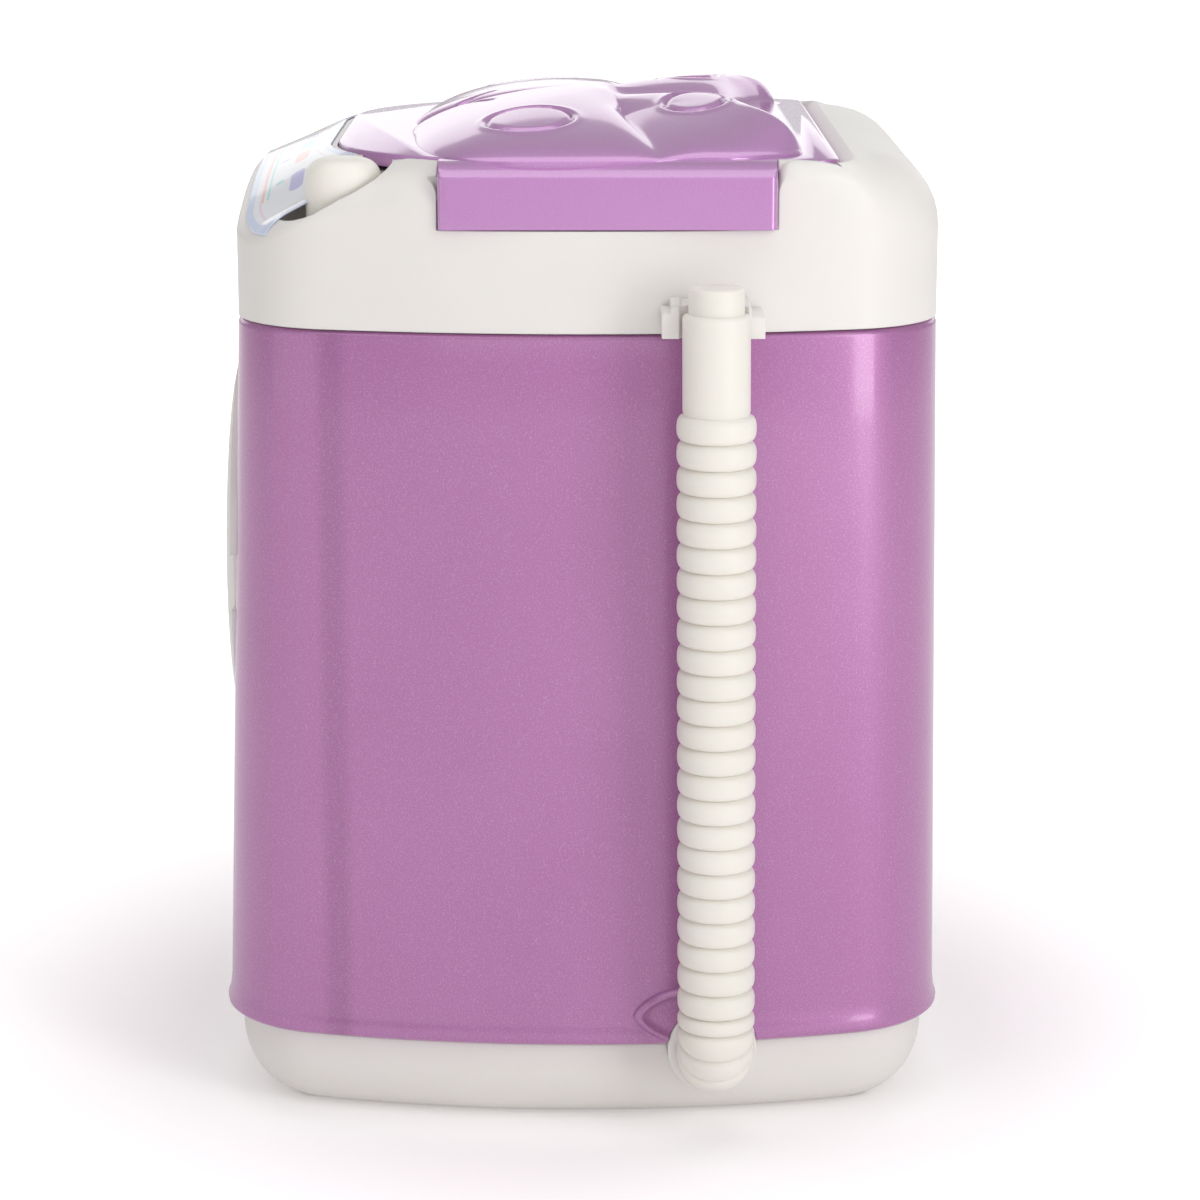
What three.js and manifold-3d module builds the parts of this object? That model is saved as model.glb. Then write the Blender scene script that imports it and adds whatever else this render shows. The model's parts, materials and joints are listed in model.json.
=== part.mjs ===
// Toy washing machine with a butterfly lid, a turning drum, a selector knob and a ribbed drain hose.
// Millimetres, +Z up. The origin is the middle of the underside; the door faces -Y and the hose is on +X.
import * as THREE from 'three';
import { mergeVertices } from 'three/addons/utils/BufferGeometryUtils.js';
import Module from 'manifold-3d';

const wasm = await Module();
wasm.setup();

// Clearances that every fit shares
const seam = 0.3;
const slack = 0.3;
const runningGap = 0.1;
const overrun = 2;

// Cabinet outline: bowed sides, flat front and back, round corners, drafted towards the top
const cabinetWidth = 90;
const cabinetDepth = 88;
const cabinetHalfX = cabinetWidth / 2;
const cabinetHalfY = cabinetDepth / 2;
const sideDraft = 2;
const topShift = 0.65;
const sideBowRadius = 135;
const cornerRadius = 14;
const smallestCorner = 0.8;
const wall = 1.8;

// Heights of the three stacked shells
const baseHeight = 11.1;
const shellHeight = 86.3;
const frameHeight = 19.6;
const shellBottom = baseHeight + seam;
const shellTop = shellBottom + shellHeight;
const frameBottom = shellTop + seam;
const frameTop = frameBottom + frameHeight;

// Base tray
const baseInset = 1.5;
const baseRoundWidth = 7.5;
const baseRoundHeight = 9;
const lipHeight = 3;
const flareHeight = 4;
const flareWidth = 0.5;

// Battery bay, its cover and two cells
const cellRadius = 7.1;
const cellLength = 48;
const cellTipRadius = 2.6;
const cellTipLength = 1.4;
const contactLength = 2.6;
const contactThickness = 0.4;
const bayWall = 1.5;
const coverThickness = 1.6;
const coverLatchWidth = 12;
const coverLatchDepth = 2.4;

// Screws
const screwRadius = 1.3;
const screwLength = 18;
const screwHeadRadius = 2.6;
const screwHeadHeight = 1.6;
const screwHeadSink = 1.2;
const postRadius = 3.4;
const postLength = 22;
const webThickness = 1.6;
const webReach = 12;

// Top frame
const panelLength = 14;
const panelTopY = panelLength - cabinetHalfY;
const panelMiddleHeight = 15.2;
const panelEndHeight = 9.2;
const panelEndMargin = 12;
const panelEndTopMargin = 22.2;
const panelReach = cabinetHalfX - panelEndMargin;
const panelUpperDrop = 0.2;
const backRound = 9;
const shoulderRound = 4.5;
const deckThickness = 2;
const notchFrontMargin = 27.5;
const notchFront = notchFrontMargin - cabinetHalfY;
const notchBackMargin = 20.9;
const notchBack = cabinetHalfY - notchBackMargin;
const tabFrontGap = 0.6;
const tabBackGap = 0.8;
const notchDepth = 8;
const ledgeWidth = 2;

// Lid and its butterfly relief
const lidSideMargin = 4.4;
const lidHalfWidth = cabinetHalfX - sideDraft - lidSideMargin;
const lidBackMargin = 14;
const lidBackY = cabinetHalfY - lidBackMargin;
const lidBackGap = 0.5;
const lidBackChamfer = 1.3;
const lidFrontRadius = 24;
const lidBackRadius = 3;
const lidThickness = 1.6;
const lidSink = 0.1;
const tabThickness = 1.7;
const tabRound = 1.6;
const lidHingeSetback = 2.6;
const lidHingeY = lidBackY - lidHingeSetback;
const lidHingeDrop = 3.6;
const lidPinRadius = 0.9;
const lidPinLength = 2;
const lidEarThickness = 2;
const lidEarRadius = 1.9;
const lidSocketRadius = 1.75;
const rimLip = 1.2;
const rimUndercut = 1.4;
const wingSideMargin = 4.5;
const wingSpan = 2 * (cabinetHalfX - wingSideMargin);
const wingEndMargin = 21;
const wingDepth = 2 * (cabinetHalfY - wingEndMargin);
const wingRise = 5.6;
const wingCentreY = 0;
const spotGroove = 0.7;
const spotGrooveDepth = 0.5;
const slotWidth = 0.9;

// Wash tray under the lid
const trayDepth = 9;
const trayWall = 1.4;
const trayFlange = 2.2;
const trayFlangeThickness = 1.2;

// Selector knob, its spindle and contacts
const knobSideMargin = 11.4;
const knobX = cabinetHalfX - knobSideMargin;
const knobFrontMargin = 16;
const knobY = knobFrontMargin - cabinetHalfY;
const knobRadius = 4.45;
const knobHeight = 8;
const knobDome = 3;
const knobBulgeShare = 0.6;
const knobFloor = 11.2;
const scoopRadius = 5.4;
const scoopFlare = 0.3;
const scoopFrontRadius = 4.6;
const scoopFrontStep = 3.2;
const spindleRadius = 1.8;
const spindleLength = 5;
const camLength = 4.2;
const camWidth = 3;
const camThickness = 1.2;
const switchLeafWidth = 3;
const switchLeafThickness = 0.5;

// Control panel label
const labelThickness = 0.25;
const labelLift = 0.2;
const labelMargin = 1.4;
const labelFarMargin = 15;
const labelFarX = labelFarMargin - cabinetHalfX;
const labelNearMargin = 9.5;
const labelNearX = cabinetHalfX - labelNearMargin;
const labelHollowX = 8;
const labelHollowWidth = 10.4;
const labelHollowDepth = 8.3;

// Door in the front
const doorRise = 53.2;
const doorZ = shellBottom + doorRise;
const surroundRadius = 27.5;
const surroundSetback = 1;
const surroundFrontY = surroundSetback - cabinetHalfY;
const surroundDepth = 4;
const surroundFlange = 2;
const doorRecess = 1.4;
const doorOpening = 21;
const barrelWall = 1.8;
const barrelDepth = 5.6;
const doorRadius = 25.6;
const doorThickness = 1.4;
const doorCrown = 0.55;
const windowRadius = 18;
const windowThickness = 0.8;
const windowRise = 1.7;
const windowLip = 1.4;
const hingeReach = 3;
const hingeX = -doorRadius - hingeReach;
const hingePinRadius = 0.7;
const knuckleRadius = 1.4;
const knuckleLength = 7;
const hingeLugLength = 3.4;
const gripWidth = 7;
const gripDepth = 1;
const hingeProud = 1.2;
const armReach = 3.6;

// Tub, drum and drive
const drumRadius = 27;
const drumWall = 1.5;
const drumSideGap = 4;
const drumFrontGap = 3.6;
const drumBackGap = 6;
const tubRadius = drumRadius + drumSideGap;
const tubWall = 1.6;
const tubFrontMargin = 6.5;
const tubFrontY = tubFrontMargin - cabinetHalfY;
const driveLength = 35;
const tubBackY = cabinetHalfY - driveLength;
const tubMouthRadius = 25.2;
const drumFrontY = tubFrontY + drumFrontGap;
const drumBackY = tubBackY - drumBackGap;
const drumMouthRadius = 21.6;
const drumHoleRadius = 1.7;
const drumHolesRound = 12;
const drumHoleRows = 3;
const paddleCount = 3;
const paddleHeight = 5.5;
const paddleWidth = 5;
const shaftRadius = 2;
const hubRadius = 5;
const hubLength = 3;
const bearingRadius = 4.5;
const bearingLength = 3.4;
const bearingFlange = 1.6;
const gearPitchDiameter = 33.6;
const gearTeeth = 40;
const pinionTeeth = 10;
const gearModule = gearPitchDiameter / gearTeeth;
const gearWidth = 3;
const pinionWidth = 4.6;
const gearGap = 1;
const plateThickness = 2;
const motorRadius = 10;
const motorLength = 19;
const motorFlat = 7.6;
const motorShaftRadius = 1;
const motorScrewRadius = 1;
const motorScrewSpread = 7.3;

// Drain hose, its clip and its port
const hoseStandOff = 5.6;
const hoseX = cabinetHalfX + hoseStandOff;
const hoseBackMargin = 29;
const hoseY = cabinetHalfY - hoseBackMargin;
const hoseRise = 6.4;
const hoseTop = frameBottom + hoseRise;
const neckRadius = 3.05;
const neckLength = 3.6;
const cuffRadius = 3.85;
const cuffLength = 11;
const ribRadius = 4.6;
const ribValley = 3.75;
const ribPitch = 3;
const ribCount = 27;
const hoseLean = 0.75;
const hoseBore = 2.3;
const hoseCap = 1.2;
const hoseBend = 5;
const hosePlugLength = 7.5;
const portDrop = 0.6;
const portZ = shellBottom - portDrop;
const portRadius = 5.4;
const portY = hoseY + hoseLean;
const portReach = 1.4;
const clipWidth = 11.8;
const clipHeight = 3.7;
const clipSetback = 1.2;
const clipReach = hoseX - clipSetback;
const clipStubWidth = 5;
const portInset = 5;
const portInnerX = cabinetHalfX - portInset;
const hoodHalfWidth = 6.8;
const hoodHalfHeight = 3.5;
const hoodSideStep = 1.9;
const hoodRise = 3.6;
const hoodReach = 1.2;
const hoodWall = 0.9;
const hoodPointShare = 0.35;

// Colours
const purple = 0xb57cc0;
const white = 0xeeebe6;
const ivory = 0xe9e4d2;
const warmWhite = 0xf1eee6;

// Turns a closed geometry into a solid that can be joined and cut.
function solid(geometry) {
  const bare = geometry.clone();
  for (const name of Object.keys(bare.attributes)) {
    if (name !== 'position') bare.deleteAttribute(name);
  }
  bare.clearGroups();
  const merged = mergeVertices(bare, 1e-4);
  return new wasm.Manifold(new wasm.Mesh({
    numProp: 3,
    vertProperties: new Float32Array(merged.attributes.position.array),
    triVerts: new Uint32Array(merged.index.array),
  }));
}

// Gives the faces of a joined and cut solid back as a geometry.
function shape(body) {
  const mesh = body.getMesh();
  const geometry = new THREE.BufferGeometry();
  geometry.setAttribute('position', new THREE.BufferAttribute(new Float32Array(mesh.vertProperties), mesh.numProp));
  geometry.setIndex(new THREE.BufferAttribute(new Uint32Array(mesh.triVerts), 1));
  return geometry;
}

const join = (...parts) => parts.reduce((whole, part) => whole.add(part));
const cut = (whole, ...tools) => tools.reduce((rest, tool) => rest.subtract(tool), whole);

function box(x0, x1, y0, y1, z0, z1) {
  const geometry = new THREE.BoxGeometry(x1 - x0, y1 - y0, z1 - z0);
  return solid(geometry.translate((x0 + x1) / 2, (y0 + y1) / 2, (z0 + z1) / 2));
}

// Cylinders along the three axes, from one end face to the other.
function rodZ(x, y, z0, z1, radius, sides = 20, endRadius = radius) {
  const geometry = new THREE.CylinderGeometry(endRadius, radius, z1 - z0, sides);
  return solid(geometry.rotateX(Math.PI / 2).translate(x, y, (z0 + z1) / 2));
}

function rodY(x, z, y0, y1, radius, sides = 20, endRadius = radius) {
  const geometry = new THREE.CylinderGeometry(endRadius, radius, y1 - y0, sides);
  return solid(geometry.translate(x, (y0 + y1) / 2, z));
}

function rodX(y, z, x0, x1, radius, sides = 20) {
  const geometry = new THREE.CylinderGeometry(radius, radius, x1 - x0, sides);
  return solid(geometry.rotateZ(-Math.PI / 2).translate((x0 + x1) / 2, y, z));
}

// Joins rings of equally many points into one closed surface. Open stacks are capped at both ends,
// and closed stacks run from the last ring back to the first.
function stack(rings, closed = false) {
  const count = rings[0].length;
  const positions = rings.flat(2);
  const faces = [];
  const last = closed ? rings.length : rings.length - 1;
  for (let i = 0; i < last; i++) {
    const low = i * count;
    const high = ((i + 1) % rings.length) * count;
    for (let j = 0; j < count; j++) {
      const k = (j + 1) % count;
      faces.push(low + j, low + k, high + k, low + j, high + k, high + j);
    }
  }
  if (!closed) {
    for (const [ring, start, up] of [[rings[0], 0, false], [rings.at(-1), (rings.length - 1) * count, true]]) {
      const centre = positions.length / 3;
      const middle = [0, 1, 2].map((axis) => ring.reduce((sum, point) => sum + point[axis], 0) / count);
      positions.push(...middle);
      for (let j = 0; j < count; j++) {
        const k = (j + 1) % count;
        faces.push(centre, start + (up ? j : k), start + (up ? k : j));
      }
    }
  }
  const geometry = new THREE.BufferGeometry();
  geometry.setAttribute('position', new THREE.Float32BufferAttribute(positions, 3));
  geometry.setIndex(signedVolume(positions, faces) < 0 ? faces.reverse() : faces);
  return geometry;
}

function signedVolume(positions, faces) {
  let volume = 0;
  const point = (i) => new THREE.Vector3(...positions.slice(3 * faces[i], 3 * faces[i] + 3));
  for (let i = 0; i < faces.length; i += 3) volume += point(i).dot(point(i + 1).cross(point(i + 2)));
  return volume;
}

// One quarter of the cabinet's plan: a bowed side, a round corner tangent to it, and half the flat front.
function planQuarter(halfWidth, halfDepth, inset) {
  const bow = sideBowRadius - inset;
  const corner = Math.max(cornerRadius - inset, smallestCorner);
  const halfX = halfWidth - inset;
  const halfY = halfDepth - inset;
  const bowX = halfX - bow;
  const cornerY = halfY - corner;
  const cornerX = bowX + Math.sqrt((bow - corner) ** 2 - cornerY ** 2);
  const start = Math.atan2(cornerY, cornerX - bowX);
  const sideSteps = 3;
  const cornerSteps = 5;
  const points = [];
  for (let i = 0; i < sideSteps; i++) {
    const angle = (start * i) / sideSteps;
    points.push([bowX + bow * Math.cos(angle), bow * Math.sin(angle)]);
  }
  for (let i = 0; i <= cornerSteps; i++) {
    const angle = start + ((Math.PI / 2 - start) * i) / cornerSteps;
    points.push([cornerX + corner * Math.cos(angle), cornerY + corner * Math.sin(angle)]);
  }
  return points;
}

// The whole plan as one ring at a height, drawn in from the cabinet's outer face by the inset.
function planRing(z, inset) {
  const rise = Math.min((z - shellBottom) / shellHeight, 1);
  const halfWidth = cabinetWidth / 2 - sideDraft * Math.max(rise, 0);
  const halfDepth = cabinetDepth / 2 - sideDraft * Math.max(rise, 0);
  const quarter = planQuarter(halfWidth, halfDepth, inset);
  const second = quarter.map(([x, y]) => [-x, y]).reverse();
  const third = quarter.map(([x, y]) => [-x, -y]).slice(1);
  const fourth = quarter.map(([x, y]) => [x, -y]).reverse().slice(0, -1);
  const shift = topShift * Math.max(rise, 0);
  return [...quarter, ...second, ...third, ...fourth].map(([x, y]) => [x, y + shift, z]);
}

// A body whose wall follows the plan: each profile point is a height and an inset.
const planSolid = (profile) => solid(stack(profile.map(([z, inset]) => planRing(z, inset))));

// Half a plan's width at a height and a place along Y, on the bowed side.
function sideX(y, z) {
  const rise = Math.min(Math.max((z - shellBottom) / shellHeight, 0), 1);
  const halfWidth = cabinetWidth / 2 - sideDraft * rise;
  return halfWidth - sideBowRadius + Math.sqrt(sideBowRadius ** 2 - y ** 2);
}

// Extrudes a flat outline in Y and Z along X.
function alongX(points, x0, x1) {
  return solid(stack([x0, x1].map((x) => points.map(([y, z]) => [x, y, z]))));
}

// Extrudes a flat outline in X and Z along Y.
function alongY(points, y0, y1) {
  return solid(stack([y0, y1].map((y) => points.map(([x, z]) => [x, y, z]))));
}

// Extrudes a flat outline in X and Y along Z.
function alongZ(points, z0, z1) {
  return solid(stack([z0, z1].map((z) => points.map(([x, y]) => [x, y, z]))));
}

// Points on an arc, ends included.
function arc(cx, cy, radius, from, to, steps, otherRadius = radius) {
  return Array.from({ length: steps + 1 }, (_, i) => {
    const angle = from + ((to - from) * i) / steps;
    return [cx + radius * Math.cos(angle), cy + otherRadius * Math.sin(angle)];
  });
}

// Posts that the base screws go into stand this far in from the cabinet's sides and ends.
const postEdgeX = 15;
const postEdgeY = 11;
const postX = cabinetWidth / 2 - postEdgeX;
const postY = cabinetDepth / 2 - postEdgeY;
const postPlaces = [[postX, postY], [-postX, postY], [-postX, -postY], [postX, -postY]];
const frontTopY = sideDraft - cabinetHalfY + topShift;
const topHalfWidth = cabinetWidth / 2 - sideDraft;
const filled = planSolid([[shellBottom, wall / 2], [shellTop, wall / 2]]);
const hollow = planSolid([[shellBottom - overrun, wall], [shellBottom, wall], [shellTop + overrun, wall]]);

// Battery bay: two cells side by side along Y above the cover.
const bayHalfWidth = 2 * cellRadius + 1.5 * slack;
const bayHalfLength = (cellLength + cellTipLength) / 2 + contactLength + slack;
const cellZ = coverThickness + slack + cellRadius;
const bayRoof = cellZ + cellRadius + slack;
const coverScrewY = bayHalfLength + bayWall + postRadius;
const coverLugRadius = postRadius + slack;

function baseProfile(inset, floor, top, steps) {
  const round = Array.from({ length: steps + 1 }, (_, i) => {
    const angle = (Math.PI / 2) * (i / steps);
    return [floor + (baseRoundHeight - floor) * (1 - Math.cos(angle)), inset + baseRoundWidth * (1 - Math.sin(angle))];
  });
  return [...round, [top, inset]];
}

function makeBaseTray() {
  const outer = planSolid(baseProfile(baseInset, 0, baseHeight, 4));
  const cavity = planSolid(baseProfile(baseInset + wall, wall, baseHeight + overrun, 2));
  const lipBottom = baseHeight - overrun;
  const lipTop = baseHeight + lipHeight;
  const lip = planSolid([[lipBottom, wall + slack], [lipTop, wall + slack]])
    .subtract(planSolid([[lipBottom - overrun, baseInset + wall], [lipTop + overrun, baseInset + wall]]));
  let posts = rodZ(0, coverScrewY, 0, 2 * baseHeight / 3, postRadius + wall / 2);
  for (const [x, y] of postPlaces) posts = posts.add(rodZ(x, y, 0, baseHeight, postRadius, 16));
  const bayX = bayHalfWidth + bayWall;
  const bayY = bayHalfLength + bayWall;
  let tray = join(cut(outer, cavity), lip, posts.intersect(outer), box(-bayX, bayX, -bayY, bayY, 0, bayRoof + bayWall));
  tray = cut(tray, box(-bayHalfWidth, bayHalfWidth, -bayHalfLength, bayHalfLength, -overrun, bayRoof));
  tray = cut(tray, coverLug(slack, -overrun, coverThickness + slack));
  tray = cut(tray, rodZ(0, coverScrewY, -overrun, baseHeight / 2, screwRadius + runningGap));
  for (const [x, y] of postPlaces) {
    tray = cut(tray, rodZ(x, y, -overrun, baseHeight + overrun, screwRadius + runningGap, 12),
      rodZ(x, y, -overrun, screwHeadSink + screwHeadHeight + runningGap, screwHeadRadius + slack, 16));
  }
  return cut(tray, rodX(portY, portZ, portInnerX - slack, cabinetWidth, portRadius + slack));
}

// The tongue of the battery cover that its screw goes through.
function coverLug(grow, z0, z1) {
  const half = coverLugRadius + grow;
  const outline = [[-half, 0], [half, 0], ...arc(0, coverScrewY, half, 0, Math.PI, 8)];
  return alongZ(outline, z0, z1);
}

function makeBatteryCover() {
  const half = bayHalfWidth - slack;
  const end = bayHalfLength - slack;
  const plate = box(-half, half, -end, end, 0, coverThickness).add(coverLug(0, 0, coverThickness));
  const ridges = [-1, 0, 1].map((i) => box(-coverLatchWidth / 2, coverLatchWidth / 2,
    (i - runningGap) * coverLatchDepth - end / 2, (i + runningGap) * coverLatchDepth - end / 2,
    -overrun, coverThickness / 4));
  return cut(plate, ...ridges, rodZ(0, coverScrewY, -overrun, coverThickness + overrun, screwRadius + runningGap),
    rodZ(0, coverScrewY, -overrun, coverThickness / 2, screwHeadRadius + runningGap));
}

// The two cells point opposite ways, as their contacts join them in a row.
function makeCells() {
  return [-1, 1].map((side) => {
    const x = side * (cellRadius + slack / 2);
    const low = -(cellLength + cellTipLength) / 2 + (side < 0 ? cellTipLength : 0);
    const high = low + cellLength;
    const tip = side < 0 ? [low - cellTipLength, low + overrun] : [high - overrun, high + cellTipLength];
    return rodY(x, cellZ, low, high, cellRadius).add(rodY(x, cellZ, ...tip, cellTipRadius, 16));
  });
}

// A sprung contact is a plate against the bay's end wall with a cone of wire towards the cell.
function makeContacts() {
  const plates = [];
  for (const end of [-1, 1]) {
    for (const side of [-1, 1]) {
      const x = side * (cellRadius + slack / 2);
      const outer = end * (bayHalfLength - slack / 2);
      const inner = outer - end * contactThickness;
      const tip = end * ((cellLength + cellTipLength) / 2 + slack);
      const [y0, y1] = [outer, inner].sort((a, b) => a - b);
      const [c0, c1] = [inner + end * contactThickness / 2, tip].sort((a, b) => a - b);
      const half = cellRadius - contactThickness;
      const cone = end > 0 ? [cellTipRadius, cellTipRadius * 2] : [cellTipRadius * 2, cellTipRadius];
      plates.push(box(x - half, x + half, y0, y1, cellZ - half, cellZ + half)
        .add(rodY(x, cellZ, c0, c1, cone[0], 16, cone[1])));
    }
  }
  return plates;
}

function makeScrews() {
  const headTop = screwHeadSink + screwHeadHeight;
  const screws = postPlaces.map(([x, y]) => rodZ(x, y, screwHeadSink, headTop, screwHeadRadius, 16)
    .add(rodZ(x, y, headTop - screwHeadHeight / 2, headTop + screwLength, screwRadius, 12)));
  const coverHead = coverThickness / 2;
  screws.push(rodZ(0, coverScrewY, runningGap, coverHead - runningGap, screwHeadRadius, 16)
    .add(rodZ(0, coverScrewY, coverHead / 2, baseHeight / 2 - slack, screwRadius, 12)));
  return screws;
}

// Leaf outline of the hood: an oval whose height is drawn in towards its two pointed ends.
function hoodOutline(shrink) {
  return arc(0, 0, 1, 0, 2 * Math.PI, 20).slice(0, -1).map(([u, v]) => [
    hoseY - hoodSideStep + u * (hoodHalfWidth - shrink / hoodPointShare / 2),
    shellBottom + hoodRise + v * (hoodHalfHeight - shrink) * Math.abs(v) ** hoodPointShare]);
}

// Cabinet shell with the door's round hole, the hood over the hose port and four screw posts.
function makeShell() {
  const skin = solid(stack([planRing(shellBottom, -flareWidth), planRing(shellBottom + flareHeight, 0),
    planRing(shellTop, 0), planRing(shellTop, wall), planRing(shellBottom, wall)], true));
  const postBottom = baseHeight + slack;
  const hole = rodZ(0, 0, -overrun, shellBottom + screwLength, screwRadius + runningGap, 12);
  let posts = null;
  for (const [x, y] of postPlaces) {
    const post = rodZ(x, y, postBottom, postBottom + postLength, postRadius, 16);
    const across = new THREE.Vector2(-y, x).setLength(webThickness / 2);
    const out = new THREE.Vector2(x, y).setLength(webReach);
    const web = alongZ([[x - across.x, y - across.y], [x + across.x, y + across.y],
      [x + out.x + across.x, y + out.y + across.y], [x + out.x - across.x, y + out.y - across.y]],
    postBottom + lipHeight + slack, postBottom + postLength);
    const drilled = cut(post.add(web), hole.translate([x, y, 0]));
    posts = posts ? posts.add(drilled) : drilled;
  }
  const hoodX = sideX(hoseY, shellBottom);
  const leaf = (shrink, x0, x1) => alongX(hoodOutline(shrink), x0, x1);
  const hood = cut(leaf(0, hoodX - 2 * wall, hoodX + hoodReach), hollow, leaf(hoodWall, hoodX + hoodReach / 3, cabinetWidth))
    .intersect(box(0, cabinetWidth, -cabinetDepth, cabinetDepth, shellBottom, shellTop));
  return cut(join(skin, posts.intersect(filled), hood),
    rodY(0, doorZ, -cabinetDepth, -cabinetDepth / 4, surroundRadius + slack, doorSides),
    rodX(portY, portZ, portInnerX - slack, cabinetWidth, portRadius + slack));
}

// Top frame. The block is the cabinet's plan, rounded over the shoulders and the back and cut by the panel.
const deckZ = frameTop;
const frontSteps = 10;
const backTopY = cabinetHalfY - sideDraft + topShift;

// Height of the panel's front edge: highest in the middle, where the panel bulges up.
function browZ(x) {
  const share = Math.min((x / panelReach) ** 2, 1);
  return frameBottom + panelMiddleHeight - (panelMiddleHeight - panelEndHeight) * share;
}

// Back edge of the panel, which follows the lid's round front corners.
function panelBackY(x) {
  const round = Math.max(Math.abs(x) - (lidHalfWidth - lidFrontRadius), 0);
  const back = panelTopY + lidFrontRadius - Math.sqrt(Math.max(lidFrontRadius ** 2 - round ** 2, 0));
  return Math.min(back, panelEndTopMargin - cabinetHalfY);
}

// Height of the panel between its front edge and the lid.
function panelZ(x, y) {
  const share = (y - frontTopY) / (panelBackY(x) - frontTopY);
  return browZ(x) + share * (deckZ - panelUpperDrop - browZ(x));
}

function frameBlock(inset, drop) {
  const block = planSolid([[frameBottom - (inset ? overrun : 0), inset], [deckZ, inset]]);
  const top = deckZ - drop;
  const back = backTopY - inset;
  const side = topHalfWidth - inset;
  const low = frameBottom - 2 * overrun;
  const backR = backRound - inset;
  const sideR = shoulderRound - inset / 2;
  const sideView = alongX([[-cabinetDepth, low], [back, low], ...arc(back - backR, top - backR, backR, 0, Math.PI / 2, 8),
    [-cabinetDepth, top]], -cabinetWidth, cabinetWidth);
  const frontView = alongY([[-side, low], [side, low], ...arc(side - sideR, top - sideR, sideR, 0, Math.PI / 2, 5),
    ...arc(sideR - side, top - sideR, sideR, Math.PI / 2, Math.PI, 5)], -cabinetDepth, cabinetDepth);
  const stations = Array.from({ length: 2 * frontSteps + 1 }, (_, i) => panelReach * (i / frontSteps - 1));
  const places = [-cabinetWidth, ...stations, cabinetWidth];
  const above = deckZ + cabinetDepth;
  const panel = solid(stack(places.map((x) => [[-cabinetDepth, browZ(x) - drop], [frontTopY, browZ(x) - drop],
    [panelBackY(x), deckZ - panelUpperDrop - drop], [panelBackY(x), above], [-cabinetDepth, above]]
    .map(([y, z]) => [x, y, z]))));
  return cut(block.intersect(sideView).intersect(frontView), panel);
}

// Outline of the lid's plate: wide corners at the front, tight ones at the back.
function lidOutline(grow, backGrow = grow) {
  const half = lidHalfWidth + grow;
  const front = panelTopY + slack - grow;
  const back = lidBackY + backGrow;
  const frontR = lidFrontRadius + grow;
  const backR = Math.max(lidBackRadius + grow, smallestCorner);
  return [
    ...arc(half - frontR, front + frontR, frontR, -Math.PI / 2, 0, 8),
    ...arc(half - backR, back - backR, backR, 0, Math.PI / 2, 3),
    ...arc(backR - half, back - backR, backR, Math.PI / 2, Math.PI, 3),
    ...arc(frontR - half, front + frontR, frontR, Math.PI, 1.5 * Math.PI, 8),
  ];
}

const lidTopZ = deckZ - lidSink;
const lidBottomZ = lidTopZ - lidThickness;
const ledgeZ = lidBottomZ - 2 * slack - trayFlangeThickness;
const hingeZ = lidTopZ - lidHingeDrop;
const hingeBayFrontY = lidHingeY - lidEarRadius - 2 * slack;
const earOuterX = lidHalfWidth - ledgeWidth - slack;
const earInnerX = earOuterX - lidEarThickness;
const hingeBayX = lidHalfWidth + slack;
const tabInnerX = topHalfWidth - tabThickness;
const wellBottomZ = ledgeZ - ledgeWidth - lidEarRadius;
const knobFloorZ = frameBottom + knobFloor;

// The knob's recess: a round well that opens upwards, with a second one towards the front.
function scoop(grow, z0, z1) {
  return rodZ(knobX, knobY, z0, z1, scoopRadius + grow, 16, scoopRadius + scoopFlare + grow)
    .add(rodZ(knobX - slack, knobY - scoopFrontStep, z0, z1, scoopFrontRadius + grow, 14));
}

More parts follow.
